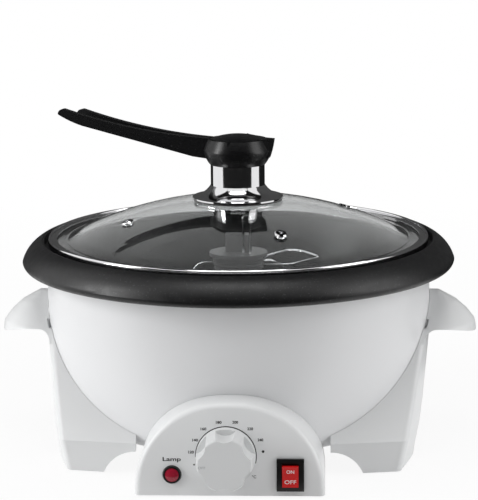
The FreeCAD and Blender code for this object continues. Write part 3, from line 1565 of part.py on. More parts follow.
def lid_glass():
    made = body("glass_blank")
    wall = S.glass_wall
    bore = S.post_radius + S.fit_gap
    dome = S.glass_dome_radius
    brim = S.brim_top
    inner = dome - S.glass_inner_step
    turn(made, "Revolution", [(bore, glass_height(bore), -S.glass_sphere_radius), (dome, glass_height(dome)),
                              (dome + S.glass_knee, brim), (S.glass_radius, brim),
                              (S.glass_radius, brim - wall),
                              (dome + S.glass_inner_knee, brim - wall),
                              (inner, glass_height(inner, wall), S.glass_sphere_radius - wall),
                              (bore, glass_height(bore, wall))])
    holes = []
    for index, (azimuth, lean) in enumerate(vent_places()):
        drill = rod(f"vent_hole_{index}", S.vent_tube_radius + S.shaft_gap, wall * 3)
        holes.append(tilt_to_dome(drill, azimuth, lean, -wall * 2))
    return node(combine("Cut", "lid_glass", made, combine("MultiFuse", "vent_holes", *holes)), "lid_glass")


def lid_vents():
    """Four flanged metal eyelets through the glass."""
    eyelets = []
    wall = S.glass_wall
    for index, (azimuth, lean) in enumerate(vent_places()):
        made = body(f"vent_{index}")
        flange = S.vent_flange_wall
        tube = S.vent_tube_radius
        under = -wall - S.shaft_gap
        turn(made, "Revolution", [(S.vent_bore, -wall - flange), (S.vent_radius, -wall - flange),
                                  (S.vent_radius, under), (tube, under),
                                  (tube, S.shaft_gap), (S.vent_radius + S.vent_lip, S.shaft_gap),
                                  (S.vent_radius, flange), (S.vent_bore + S.vent_mouth, flange)])
        eyelets.append(tilt_to_dome(made, azimuth, lean, size(0)))
    group = DOC.addObject("Part::Compound", "lid_vents")
    group.Links = eyelets
    return node(group, "lid_vents")


def lid_ring():
    made = body("lid_ring")
    wall = S.ring_wall
    outer = S.ring_radius
    inner = S.ring_radius - S.ring_grip
    top = S.brim_top
    low = top - S.glass_wall
    turn(made, "Revolution", [(inner, top), (outer - wall, top), (outer - wall, low), (inner, low),
                              (inner, low - wall), (outer, low - wall),
                              (outer, top + wall), (inner, top + wall)])
    return node(made, "lid_ring")


def lid_gasket():
    made = body("lid_gasket")
    outer = S.skirt_radius - S.gasket_inset
    inner = S.skirt_foot_radius
    turn(made, "Revolution", [(inner, glass_height(inner), -S.glass_sphere_radius),
                              (outer, glass_height(outer)),
                              (outer, S.skirt_bottom), (inner, S.skirt_bottom)])
    return node(made, "lid_gasket")


def lid_skirt():
    made = body("lid_skirt")
    outer = S.skirt_radius
    wall = S.skirt_wall
    foot = S.skirt_bottom + wall
    plate = S.sleeve_bottom - wall
    bore = S.post_radius + S.fit_gap
    turn(made, "Revolution", [(S.skirt_foot_radius, S.skirt_bottom), (outer, S.skirt_bottom),
                              (outer, foot, -S.skirt_sweep_radius),
                              (S.sleeve_radius + S.skirt_collar, plate + S.skirt_collar_rise),
                              (S.sleeve_radius, S.sleeve_bottom), (bore, S.sleeve_bottom), (bore, plate),
                              (S.sleeve_radius - wall, plate, S.skirt_sweep_radius - wall),
                              (outer - S.skirt_foot, foot),
                              (S.skirt_foot_radius, foot)])
    return node(made, "lid_skirt")


def lid_sleeve():
    made = body("lid_sleeve")
    outer = S.sleeve_radius
    inner = outer - S.sleeve_wall
    turn(made, "Revolution", [(inner, S.sleeve_bottom), (outer, S.sleeve_bottom),
                              (outer, S.sleeve_top), (inner, S.sleeve_top)])
    return node(made, "lid_sleeve")


def prong(name, side, short=0):
    """One tall thin blade of the forked handle, drawn flat along -X and then spread and turned."""
    made = body(name)
    lost = size(short)
    reach = S.handle_reach - lost
    tip = S.handle_tip_height - lost * S.prong_tip_slope
    profile = sketch(made, "XZ_Plane")
    root_x = -S.prong_root
    outline(profile, [(root_x, S.knob_top - S.prong_top_drop, -S.prong_sweep_radius),
                      (-reach + S.prong_tip_back, tip + S.prong_tip_rise, S.prong_nose_radius),
                      (-reach, tip - S.prong_tip_drop, S.prong_belly_radius),
                      (-reach + S.prong_belly_back, S.prong_belly_height - lost * S.prong_tip_slope),
                      (root_x - S.prong_heel_back, S.prong_root_bottom + S.prong_heel_rise),
                      (root_x, S.prong_root_bottom)])
    push(made, "Pad", profile, S.prong_wall, both=True)
    spread = (S.prong_spread - S.prong_root_spread) / (reach - S.prong_root)
    start = S.prong_root_spread - S.prong_root * spread
    base = side * start
    return place(made, x=base * sine(S.handle_turn), y=base * cosine(S.handle_turn), axis=V(0, 0, 1),
                 angle=-side * arc_tangent(spread) - S.handle_turn)


def lid_handle():
    made = body("knob_cup")
    cap = S.cap_radius + S.shaft_gap
    plug = S.sleeve_radius - S.sleeve_wall - S.shaft_gap
    screw = S.lid_screw_radius + S.shaft_gap
    screw_end = S.sleeve_bottom + S.lid_screw_grip
    top = S.knob_top
    seat = top - S.cap_sink
    turn(made, "Revolution", [(0, screw_end), (screw, screw_end), (screw, S.post_bottom),
                              (S.post_radius, S.post_bottom), (S.post_radius, S.sleeve_bottom),
                              (plug, S.sleeve_bottom), (plug, S.sleeve_top),
                              (S.sleeve_radius + S.knob_collar, S.sleeve_top, S.knob_belly_radius),
                              (S.knob_radius, top - S.knob_shoulder, S.knob_side_radius),
                              (S.knob_lip_radius, top - S.knob_lip_drop),
                              (cap + S.cap_seat_lean, seat + S.cap_seat_rise), (cap, seat), (0, seat)])
    beak = body("beak_blank")
    low = top - S.beak_root
    tip = S.knob_radius + S.beak_reach
    back = S.cap_radius + S.beak_start
    turn(beak, "Revolution", [(back, low), (S.knob_radius - S.beak_inset, low, S.knob_side_radius),
                              (tip, top + S.beak_rise), (back, top - S.beak_rise)])
    plan = body("beak_plan")
    drawing = sketch(plan, "XY_Plane", low)
    outline(drawing, [(0, -S.beak_width), (tip, 0), (0, S.beak_width)])
    push(plan, "Pad", drawing, S.beak_root * 2)
    spout = place(combine("Common", "knob_beak", beak, plan), axis=V(0, 0, 1), angle=-S.handle_turn)
    whole = combine("MultiFuse", "lid_handle", made, spout, prong("near_prong", -1),
                    prong("far_prong", 1, S.far_prong_cut))
    return node(whole, "lid_handle")


def handle_cap():
    made = body("handle_cap")
    low = S.knob_top - S.cap_sink
    edge = S.knob_top - S.cap_edge_drop
    rise = S.cap_rise
    dome = (S.cap_radius * S.cap_radius + rise * rise) / (2 * rise)
    turn(made, "Revolution", [(0, low), (S.cap_radius, low), (S.cap_radius, edge, dome), (0, edge + rise)])
    return node(made, "handle_cap")


def lid_washer():
    made = body("lid_washer")
    top = glass_height(S.washer_radius, S.glass_wall)
    turn(made, "Revolution", [(S.lid_screw_radius + S.shaft_gap, top - S.washer_wall),
                              (S.washer_radius, top - S.washer_wall), (S.washer_radius, top),
                              (S.lid_screw_radius + S.shaft_gap, top)])
    return node(made, "lid_washer")


def lid_screw():
    made = body("lid_screw")
    under = glass_height(S.washer_radius, S.glass_wall) - S.washer_wall
    head = S.lid_screw_head
    low = under - S.lid_screw_head_height
    end = S.sleeve_bottom + S.lid_screw_grip - S.seat_gap
    turn(made, "Revolution", [(0, low), (head * S.lid_screw_taper, low), (head, under - S.lid_screw_edge),
                              (head, under), (S.lid_screw_radius, under),
                              (S.lid_screw_radius, end), (0, end)])
    return node(made, "lid_screw")


# ---------------------------------------------------------------- whole model
def build():
    fill_sheet()
    bowl_shell()
    bottom_cover()
    inside = S.bowl_bottom + S.bowl_wall + S.overcut
    screws_up("cover_screws", cover_screw_places(), S.cover_bottom, inside - S.cover_bottom)
    screws_up("bracket_screws", screw_places(S.bracket_screw_x, S.bracket_screw_y), S.tab_bottom,
              inside - S.tab_bottom)
    screws_up("motor_bracket_screws", screw_places(S.motor_foot_x, S.motor_foot_y), S.bowl_bottom,
              inside + S.plate_wall - S.bowl_bottom)
    side_bracket_left(side_bracket_right())
    foot_pads()
    for make in (control_housing, control_floor, terminal_block, thermostat_body, thermostat_screws,
                 thermostat_shaft, temperature_knob, lamp_bezel, lamp_lens, lamp_bulb, switch_housing,
                 switch_rocker, pan, pan_seat_ring, heating_element, element_clips, heat_shield,
                 motor_bracket, gear_motor, motor_screws, drive_shaft, shaft_bush, thermostat_bulb,
                 thermal_fuse, cord_gland, stirrer_hub, stirrer_grip, stirrer_arms, lift_loop, lid_glass,
                 lid_vents, lid_ring, lid_gasket, lid_skirt, lid_sleeve, lid_handle, handle_cap,
                 lid_washer, lid_screw):
        make()
    DOC.recompute()


def check_and_write():
    """Stops on any failed object or bad shape, then writes one STEP file per sub-part."""
    for thing in DOC.Objects:
        if "Invalid" in thing.State or "Error" in thing.State:
            raise RuntimeError(f"{thing.Name} failed: {thing.State}")
    for thing in NODES:
        if thing.Shape.isNull() or not thing.Shape.isValid() or not thing.Shape.Solids:
            raise RuntimeError(f"{thing.Label} has no valid solid")
    os.makedirs("parts", exist_ok=True)
    for thing in NODES:
        thing.Shape.exportStep(os.path.join("parts", thing.Label + ".step"))
        print(f"{thing.Label}: {len(thing.Shape.Solids)} solids, {thing.Shape.Volume:.0f} mm3")


build()
check_and_write()
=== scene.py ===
"""Dresses the coffee roaster: materials, panel printing, light, floor and camera."""
import json
import math

import bpy
from mathutils import Matrix, Vector


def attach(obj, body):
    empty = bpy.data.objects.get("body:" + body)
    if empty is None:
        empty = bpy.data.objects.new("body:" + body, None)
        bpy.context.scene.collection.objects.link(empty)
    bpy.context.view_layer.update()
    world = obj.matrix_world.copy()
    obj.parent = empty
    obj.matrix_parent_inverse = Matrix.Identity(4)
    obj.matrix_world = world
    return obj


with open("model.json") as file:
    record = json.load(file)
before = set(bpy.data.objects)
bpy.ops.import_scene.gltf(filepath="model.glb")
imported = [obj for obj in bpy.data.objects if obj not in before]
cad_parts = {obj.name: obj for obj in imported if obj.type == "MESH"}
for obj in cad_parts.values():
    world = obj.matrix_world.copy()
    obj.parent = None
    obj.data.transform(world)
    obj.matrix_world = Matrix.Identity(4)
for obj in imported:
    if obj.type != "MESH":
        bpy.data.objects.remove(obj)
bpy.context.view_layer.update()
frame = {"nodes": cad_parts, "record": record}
NODES = frame["nodes"]
SCENE = bpy.context.scene
MM = 0.001

# Places and sizes on the part are in millimetres, those of the stage further down in metres.

# The control face leans back by TILT, and its foot stands FACE_FRONT in front of the pan's axis.
TILT = math.radians(1.0)
FACE_FRONT = 147.6
FACE_TURN = Matrix(((1, 0, 0), (0, math.sin(TILT), -math.cos(TILT)), (0, math.cos(TILT), math.sin(TILT))))
DIAL_ACROSS, DIAL_HEIGHT = -2.1, 26.0
DIAL_FACE = 21.5  # how far the dial's front stands out of the control face

PRINT_THICK = 0.06
PRINT_RISE = PRINT_THICK / 2  # words are placed by their middle
PRINT_CROWN = 0.7  # height of an arc's two shoulders, as a share of its thickness

# text, place across, place above the dial's centre
NUMBERS = (("120", -23.5, 2.5), ("140", -20.9, 10.1), ("160", -15.7, 17.2), ("180", -6.3, 21.4),
           ("200", 3.8, 21.5), ("220", 12.9, 17.4), ("240", 19.1, 10.4))
NUMBER_HEIGHT, NUMBER_WIDTH, NUMBER_WEIGHT = 1.75, 3.5, 0.03
# name, text, height, width, place across, place up, weight of the strokes
PANEL_WORDS = (
    ("mark_celsius", "°C", 1.9, 2.6, 15.1, DIAL_HEIGHT - 13.0, 0.01),
    ("mark_lamp", "Lamp", 3.3, 11.2, -35.4, 23.6, 0.02),
)
# name, place across, place up, inner and outer radius, first and last angle in degrees, steps
PANEL_ARCS = (
    ("dial_line", DIAL_ACROSS, DIAL_HEIGHT, 18.35, 18.95, -14, 182, 96),
    ("last_mark", 20.7, DIAL_HEIGHT + 3.0, 0.05, 0.85, 0, 360, 24),
    ("off_mark", -21.7, DIAL_HEIGHT - 5.5, 0.05, 0.55, 0, 360, 24),
)
# name, text, width, and the half of the rocker: 1 for the upper one, -1 for the lower one
ROCKER_WORDS = (("mark_on", "ON", 4.8, 1), ("mark_off", "OFF", 7.2, -1))
ROCKER_WORD_HEIGHT, ROCKER_WORD_WEIGHT = 2.4, 0.01
ROCKER_PIVOT = Vector((37.4, -147.35, 14.4)) * MM
ROCKER_ANGLE = 97  # degrees that turn a word lying flat into the rocker's middle plane
ROCKER_LEAN = 8.4  # degrees by which each half leans out of that plane
ROCKER_HALF = 3.4  # from the pivot to a half's middle, along the plane
ROCKER_FACE = 3.5  # from the pivot to a half's face there, out of the plane

# radius and height of the points round the ring edge's section
EDGE_SECTION = ((127.55, 136.35), (127.5, 136.7), (127.25, 137.15), (126.9, 137.65), (126.55, 137.85),
                (126.2, 137.75), (125.9, 137.3), (125.7, 136.8), (125.65, 136.35))
EDGE_STEPS = 240

WELD_REACH = 0.002 * MM  # joins the corners that neighbouring triangles share
SPLIT_ANGLE = math.radians(32)

NOISE_LOW, NOISE_HIGH = 0.3, 0.7  # nearly all values of a noise lie between
# texture scales along the three axes: hairlines that run along X, and lines that lie level
HAIRLINES = (90, 1400, 1400)
LEVEL_LINES = (90, 90, 2200)

FLOOR_REACH = 6.0
FLOOR_TONE = 0.86
FADE_START, FADE_END = 0.2, 0.9  # distances from the origin
FLOOR_NEAR, FLOOR_FAR = 0.91, 1.0  # share of white there

# Cards by name, with their tone and corners. The bright metal, the glass and the rim mirror them.
TABLE = 0.001  # height of the cards that lie just above the floor
CARDS = {
    "front_left": (0.015, [(-1.85, -0.95, 0.0), (-1.3, -2.0, 0.0), (-1.3, -1.9, 2.1), (-1.85, -0.95, 2.1)]),
    "front_middle": (0.015, [(-1.3, -2.0, 0.0), (1.3, -2.0, 0.0), (1.3, -1.9, 2.1), (-1.3, -1.9, 2.1)]),
    "front_right": (0.015, [(1.85, -0.95, 0.0), (1.3, -2.0, 0.0), (1.3, -1.9, 2.1), (1.85, -0.95, 2.1)]),
    "table_front": (0.015, [(-1.5, -1.75, TABLE), (1.5, -1.75, TABLE), (1.5, -0.70, TABLE),
                            (0.11, -0.17, TABLE), (-0.11, -0.17, TABLE), (-1.5, -0.70, TABLE)]),
    "rear_left": (0.10, [(-1.62, 1.18, 0.0), (0.0, 2.4, 0.0), (0.0, 2.4, 2.1), (-1.62, 1.18, 2.1)]),
    "rear_right": (0.10, [(1.94, 0.48, 0.0), (0.0, 2.4, 0.0), (0.0, 2.4, 2.1), (1.94, 0.48, 2.1)]),
    "table_rear_left": (0.015, [(-1.62, 1.18, TABLE), (-0.30, 0.22, TABLE), (0.0, 0.22, TABLE),
                                (0.0, 2.4, TABLE)]),
    "table_rear_right": (0.015, [(1.94, 0.48, TABLE), (0.30, 0.10, TABLE), (0.0, 0.22, TABLE),
                                 (0.0, 2.4, TABLE)]),
    "roof": (0.015, [(-1.2, -0.7, 2.2), (1.2, -0.7, 2.2), (1.2, 2.4, 2.1), (-1.2, 2.4, 2.1)]),
}
SHADE_TONE = 0.03
SHADE_CARD = [(-1.3, -2.0, 0.0), (1.3, -2.0, 0.0), (1.3, -1.7, 2.2), (-1.3, -1.7, 2.2)]

WORLD_STRENGTH = 0.45
# name, place, width, height, watts
LIGHTS = (
    ("left_box", (-1.9, -0.6, 0.8), 0.65, 1.3, 25.5),
    ("right_box", (1.9, -0.55, 0.8), 1.2, 1.7, 16),
    ("top_box", (0, -0.45, 1.9), 1.2, 0.5, 9),
)
LIGHTS_AIM = (0, 0, 0.1)


# ---------------------------------------------------------------- small helpers
def put(name, data):
    """A new object with that data, linked to the scene."""
    piece = bpy.data.objects.new(name, data)
    SCENE.collection.objects.link(piece)
    return piece


def mesh(name, points, faces):
    shape = bpy.data.meshes.new(name)
    shape.from_pydata(points, [], faces)
    return shape


def smooth(shape):
    for face in shape.polygons:
        face.use_smooth = True


def turned(section, angle):
    """The (radius, height) points of a section in metres, turned by angle round the Z axis."""
    across, along = math.cos(angle), math.sin(angle)
    return [Vector((radius * across, radius * along, height)) * MM for radius, height in section]


def finished(piece, look, body):
    """Gives a piece its look and its place in the part's motion."""
    piece.data.materials.clear()
    piece.data.materials.append(look.material)
    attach(piece, body)


def add_node(tree, kind, **values):
    made = tree.nodes.new(kind)
    for key, value in values.items():
        setattr(made, key, value)
    return made


def set_sockets(made, **values):
    """Sets a node's sockets, named with _ for each space."""
    for key, value in values.items():
        made.inputs[key.replace("_", " ")].default_value = value


# ---------------------------------------------------------------- camera
def make_camera():
    """A long lens a little above the rim, turned slightly to the object's right."""
    azimuth, elevation, roll = math.radians(2.6), math.radians(11.3), math.radians(0.5)
    target, distance = Vector((0, 0, 125.4)) * MM, 1350 * MM
    forward = Vector((-math.sin(azimuth) * math.cos(elevation), math.cos(azimuth) * math.cos(elevation),
                      -math.sin(elevation)))
    right = Vector((math.cos(azimuth), math.sin(azimuth), 0))
    up = right.cross(forward)
    level = right * math.cos(roll) - up * math.sin(roll)
    rise = right * math.sin(roll) + up * math.cos(roll)
    data = bpy.data.cameras.new("camera")
    data.sensor_width, data.lens = 36.0, 144.0
    data.shift_x = 0.0012
    data.clip_start, data.clip_end = 0.05, 20.0
    camera = put("camera", data)
    turn = Matrix((level, rise, -forward)).transposed().to_4x4()
    camera.matrix_world = Matrix.Translation(target - forward * distance) @ turn
    SCENE.camera = camera


# ---------------------------------------------------------------- materials
class Look:
    """A Principled material with short calls for the nodes that drive it."""

    def __init__(self, name, tone, rough, metal=0.0, **sockets):
        self.name, self.tone = name, tone
        self.material = bpy.data.materials.new(name)
        self.material.use_nodes = True
        self.tree = self.material.node_tree
        self.shader = self.tree.nodes["Principled BSDF"]
        set_sockets(self.shader, Base_Color=(*tone, 1), Roughness=rough, Metallic=metal, **sockets)
        self.place = self.node("ShaderNodeTexCoord").outputs["Object"]
        self.normal = None

    def node(self, kind, **values):
        return add_node(self.tree, kind, **values)

    def link(self, a, b):
        self.tree.links.new(a, b)

    def stretched(self, scale):
        """Object coordinates scaled differently along each axis."""
        mapping = self.node("ShaderNodeMapping")
        set_sockets(mapping, Scale=scale)
        self.link(self.place, mapping.inputs["Vector"])
        return mapping.outputs["Vector"]

    def noise(self, scale, detail, rough=0.55, place=None):
        made = self.node("ShaderNodeTexNoise")
        set_sockets(made, Scale=scale, Detail=detail, Roughness=rough)
        self.link(place or self.place, made.inputs["Vector"])
        return made.outputs["Fac"]

    def cells(self, scale):
        """The distance from the middle of each cell."""
        made = self.node("ShaderNodeTexVoronoi")
        set_sockets(made, Scale=scale)
        self.link(self.place, made.inputs["Vector"])
        return made.outputs["Distance"]

    def remap(self, value, low, high, out_low, out_high):
        made = self.node("ShaderNodeMapRange")
        set_sockets(made, From_Min=low, From_Max=high, To_Min=out_low, To_Max=out_high)
        self.link(value, made.inputs["Value"])
        return made.outputs["Result"]

    def ramp(self, value, *stops):
        """A colour ramp through (place, colour) stops."""
        made = self.node("ShaderNodeValToRGB")
        elements = made.color_ramp.elements
        while len(elements) < len(stops):
            elements.new(0.5)
        for element, (place, colour) in zip(elements, stops):
            element.position = place
            element.color = (*colour, 1)
        self.link(value, made.inputs["Fac"])
        return made.outputs["Color"]

    def mix(self, value, first, second):
        """first where value is 0, second where it is 1; each is a colour or a socket."""
        made = self.node("ShaderNodeMix", data_type="RGBA")
        self.link(value, made.inputs["Factor"])
        for socket, colour in ((made.inputs["A"], first), (made.inputs["B"], second)):
            if isinstance(colour, tuple):
                socket.default_value = (*colour, 1)
            else:
                self.link(colour, socket)
        return made.outputs["Result"]

    def colour(self, socket):
        self.link(socket, self.shader.inputs["Base Color"])

    def drift(self, noise, spread):
        """Lets the noise move the colour round the look's tone, by the share spread to either side."""
        low = tuple(part * (1 - spread) for part in self.tone)
        high = tuple(min(1.0, part * (1 + spread)) for part in self.tone)
        self.colour(self.mix(noise, low, high))

    def roughness(self, noise, low, high):
        """Lets the noise move the roughness between low and high."""
        self.link(self.remap(noise, NOISE_LOW, NOISE_HIGH, low, high), self.shader.inputs["Roughness"])

    def bump(self, height, distance, strength=1.0):
        """Adds a bump of that height in metres on top of the bumps already there."""
        made = self.node("ShaderNodeBump")
        set_sockets(made, Distance=distance, Strength=strength)
        self.link(height, made.inputs["Height"])
        if self.normal:
            self.link(self.normal, made.inputs["Normal"])
        self.normal = made.outputs["Normal"]
        self.link(self.normal, self.shader.inputs["Normal"])
        return self


def enamel():
    """Satin white paint on drawn steel: faint orange peel and a slight drift of tone."""
    look = Look("bowl_white", (0.80, 0.805, 0.815), 0.38, Coat_Weight=0.15, Coat_Roughness=0.2)
    look.drift(look.noise(9, 2), 0.02)
    look.roughness(look.noise(260, 4), 0.34, 0.42)
    return look.bump(look.noise(300, 2), 0.000012).bump(look.noise(1900, 2), 0.000002)


def moulded_white(name, tone, rough):
    """Injection-moulded white plastic: fine grain, slight sink marks and flow shading."""
    look = Look(name, tone, rough)
    look.drift(look.noise(14, 3), 0.018)
    look.roughness(look.noise(500, 3), rough - 0.02, rough + 0.04)
    return look.bump(look.noise(22, 1), 0.00002, 0.4).bump(look.noise(1500, 2), 0.0000015)


def speckled_black():
    """Non-stick coating: matte black with fine grey flecks and a sandy bump."""
    look = Look("nonstick_black", (0.007, 0.007, 0.0075), 0.36, Specular_IOR_Level=0.38)
    fleck = look.cells(900)
    inside = look.remap(fleck, 0.10, 0.34, 1.0, 0.0)
    few = look.remap(look.noise(700, 2), 0.50, 0.62, 0.0, 1.0)
    both = look.node("ShaderNodeMath", operation="MULTIPLY")
    look.link(inside, both.inputs[0])
    look.link(few, both.inputs[1])
    base = look.mix(look.noise(30, 3), (0.006, 0.006, 0.0065), (0.010, 0.010, 0.0105))
    look.colour(look.mix(both.outputs[0], base, (0.07, 0.07, 0.073)))
    look.roughness(look.noise(180, 4), 0.31, 0.43)
    return look.bump(look.noise(1300, 4, 0.7), 0.00008).bump(fleck, 0.00002)


def matte_dark(name, tone, rough):
    """Dull dark plastic or rubber with a fine moulded grain."""
    look = Look(name, tone, rough)
    look.drift(look.noise(60, 4), 0.18)
    look.roughness(look.noise(320, 3), rough - 0.06, rough + 0.06)
    return look.bump(look.noise(1800, 3), 0.00003)


def gloss_dark(name, tone, rough, gloss):
    """Polished phenolic: deep gloss with faint hairlines."""
    look = Look(name, tone, rough, Specular_IOR_Level=gloss)
    look.drift(look.noise(40, 3), 0.12)
    look.roughness(look.noise(1.0, 4, 0.6, look.stretched(HAIRLINES)), rough - 0.03, rough + 0.07)
    return look.bump(look.noise(120, 2), 0.00002, 0.6)


def bright_metal(name, tone, rough):
    """Polished or drawn metal with fine lines along one direction."""
    look = Look(name, tone, rough, 1.0)
    lines = look.noise(1.0, 3, 0.6, look.stretched(LEVEL_LINES))
    look.drift(look.noise(50, 3), 0.05)
    look.roughness(lines, max(0.02, rough - 0.03), rough + 0.06)
    return look.bump(lines, 0.000004)


def clear_glass():
    """Tempered glass, faintly grey-green, with a barely wavy surface."""
    look = Look("clear_glass", (0.93, 0.945, 0.945), 0.0, Transmission_Weight=1.0, IOR=1.46)
    look.roughness(look.noise(60, 3), 0.0, 0.025)
    return look.bump(look.noise(16, 1), 0.00012, 0.35)


def burnt_steel():
    """Heater sheath: brown-black oxide with bluish heat bands."""
    look = Look("element_steel", (0.16, 0.15, 0.15), 0.5, 0.85)
    look.colour(look.ramp(look.noise(55, 5), (0.3, (0.06, 0.055, 0.05)), (0.5, (0.17, 0.14, 0.12)),
                          (0.7, (0.16, 0.17, 0.20))))
    look.roughness(look.noise(240, 4), 0.38, 0.62)
    return look.bump(look.noise(900, 4), 0.00004)


def red_plastic(name, tone, rough, painted_glow):
    """Clear red plastic with a faint painted glow in its emission, which brightens the red as though lit."""
    look = Look(name, tone, rough, Coat_Weight=0.25, Coat_Roughness=0.08, Specular_IOR_Level=0.35,
                Emission_Color=(*tone, 1), Emission_Strength=painted_glow)
    look.drift(look.noise(260, 3), 0.10)
    look.roughness(look.noise(400, 2), rough, rough + 0.06)
    return look.bump(look.noise(300, 1), 0.00002, 0.5)


def ink(name, tone):
    """Screen printing: flat ink with slightly broken coverage."""
    look = Look(name, tone, 0.5)
    look.drift(look.noise(2500, 2), 0.15)
    return look.bump(look.noise(3000, 2), 0.000004)


def make_looks():
    """All looks by name. Those of the frame's nodes are named after the material slots."""
    looks = (
        enamel(),
        moulded_white("white_plastic", (0.79, 0.798, 0.802), 0.34),
        moulded_white("dial_plastic", (0.70, 0.708, 0.712), 0.32),
        speckled_black(),
        matte_dark("dark_plastic", (0.045, 0.045, 0.05), 0.55),
        gloss_dark("knob_black", (0.006, 0.006, 0.0065), 0.28, 0.32),
        clear_glass(),
        bright_metal("chrome", (0.78, 0.78, 0.79), 0.06),
        bright_metal("steel", (0.56, 0.56, 0.57), 0.30),
        bright_metal("wire_steel", (0.70, 0.70, 0.71), 0.16),
        matte_dark("hub_grey", (0.13, 0.13, 0.13), 0.45),
        matte_dark("seal_rubber", (0.03, 0.03, 0.03), 0.6),
        matte_dark("foot_rubber", (0.05, 0.05, 0.05), 0.7),
        bright_metal("brass", (0.68, 0.50, 0.22), 0.25),
        moulded_white("ceramic", (0.78, 0.76, 0.70), 0.7),
        burnt_steel(),
        # the last number of each is a faint painted glow
        red_plastic("red_lens", (0.30, 0.012, 0.03), 0.12, 0.05),
        red_plastic("red_rocker", (0.56, 0.010, 0.010), 0.22, 0.12),
        gloss_dark("black_bezel", (0.010, 0.010, 0.010), 0.32, 0.4),
        ink("print_black", (0.02, 0.02, 0.02)),
        ink("print_white", (0.85, 0.80, 0.80)),
        ink("print_grey", (0.42, 0.43, 0.44)),
    )
    return {look.name: look for look in looks}


# ---------------------------------------------------------------- dressing the frame's nodes
def dress(looks):
    """Gives every node its material and smooth shading that breaks at the real edges."""
    for entry in frame["record"]["subparts"]:
        piece = NODES[entry["node"]]
        piece.data.materials.clear()
        piece.data.materials.append(looks[entry["material_slot"]].material)
        smooth(piece.data)
        piece.modifiers.new("weld", "WELD").merge_threshold = WELD_REACH
        piece.modifiers.new("split", "EDGE_SPLIT").split_angle = SPLIT_ANGLE


def rolled_edge(looks):
    """The rolled outer edge of the lid's chrome ring."""
    count = len(EDGE_SECTION)
    points, faces = [], []
    for i in range(EDGE_STEPS):
        here, after = count * i, count * ((i + 1) % EDGE_STEPS)
        points += turned(EDGE_SECTION, math.radians(360 * i / EDGE_STEPS))
        faces += [(here + j, after + j, after + (j + 1) % count, here + (j + 1) % count)
                  for j in range(count)]
    shape = mesh("ring_edge", points, faces)
    smooth(shape)
    finished(put("ring_edge", shape), looks["chrome"], "lid")


# ---------------------------------------------------------------- printing on the panel
def on_face(x, up, out):
    """A place on the control face, in metres, from millimetres across, up and out of it."""
    return Vector((x, -FACE_FRONT + up * math.sin(TILT) - out * math.cos(TILT),
                   up * math.cos(TILT) + out * math.sin(TILT))) * MM


def word(name, text, height, width, place, turn, look, body, weight):
    """A raised word of that height and width, centred at place on a face turned by turn."""
    data = bpy.data.curves.new(name, "FONT")
    data.body = text
    data.align_x, data.align_y = "CENTER", "CENTER"
    data.size = 1.0
    data.offset = weight
    data.extrude = 0.02  # any thickness will do, as the word is scaled below
    draft = put(name + "_draft", data)
    bpy.context.view_layer.update()
    shape = bpy.data.meshes.new_from_object(draft.evaluated_get(bpy.context.evaluated_depsgraph_get()))
    bpy.data.objects.remove(draft)
    for axis, size in enumerate((width * MM, height * MM, PRINT_THICK * MM)):
        values = [vertex.co[axis] for vertex in shape.vertices]
        low, high = min(values), max(values)
        for vertex, value in zip(shape.vertices, values):
            vertex.co[axis] = (value - (low + high) / 2) / (high - low) * size
    shape.transform(Matrix.Translation(place) @ turn.to_4x4())
    shape.name = name
    finished(put(name, shape), look, body)


def arc(name, place, inner, outer, start, end, steps, look):
    """A thin flat arc with a crowned top on the control face, from angle start to end in degrees."""
    shoulder = PRINT_THICK * PRINT_CROWN
    middle = (inner + outer) / 2
    section = ((inner, 0), (inner, shoulder), (middle, PRINT_THICK), (outer, shoulder), (outer, 0))
    count = len(section)
    points, faces = [], []
    for i in range(steps + 1):
        points += turned(section, math.radians(start + (end - start) * i / steps))
    for i in range(steps):
        here, after = count * i, count * (i + 1)
        faces += [(here + j, here + (j + 1) % count, after + (j + 1) % count, after + j)
                  for j in range(count)]
    faces += [tuple(reversed(range(count))), tuple(count * steps + j for j in range(count))]
    shape = mesh(name, points, faces)
    shape.transform(Matrix.Translation(place) @ FACE_TURN.to_4x4())
    finished(put(name, shape), look, "base")


def panel_printing(looks):
    """The dial's numbers, the degree sign, the word over the lamp, and the dial's line and two dots."""
    black = looks["print_black"]
    numbers = tuple(("mark_" + text, text, NUMBER_HEIGHT, NUMBER_WIDTH, x, DIAL_HEIGHT + up, NUMBER_WEIGHT)
                    for text, x, up in NUMBERS)
    for name, text, height, width, x, up, weight in numbers + PANEL_WORDS:
        word(name, text, height, width, on_face(x, up, PRINT_RISE), FACE_TURN, black, "base",
             weight)
    for name, x, up, inner, outer, start, end, steps in PANEL_ARCS:
        arc(name, on_face(x, up, 0.0), inner, outer, start, end, steps, black)


def dial_printing(looks):
    """A faint OFF on the dial's face, at its left."""
    place = on_face(DIAL_ACROSS - 13.6, DIAL_HEIGHT - 1.2, DIAL_FACE + PRINT_RISE)
    word("mark_dial_off", "OFF", 1.5, 4.6, place, FACE_TURN, looks["print_grey"], "dial", 0.0)


def rocker_printing(looks):
    """ON and OFF on the two halves of the rocker, which lean away from each other."""
    plane = Matrix.Rotation(math.radians(ROCKER_ANGLE), 3, "X")
    for name, text, width, half in ROCKER_WORDS:
        place = ROCKER_PIVOT + plane @ Vector((0, half * ROCKER_HALF, ROCKER_FACE + PRINT_RISE)) * MM
        turn = Matrix.Rotation(math.radians(ROCKER_ANGLE + half * ROCKER_LEAN), 3, "X")
        word(name, text, ROCKER_WORD_HEIGHT, width, place, turn, looks["print_white"], "rocker",
             ROCKER_WORD_WEIGHT)


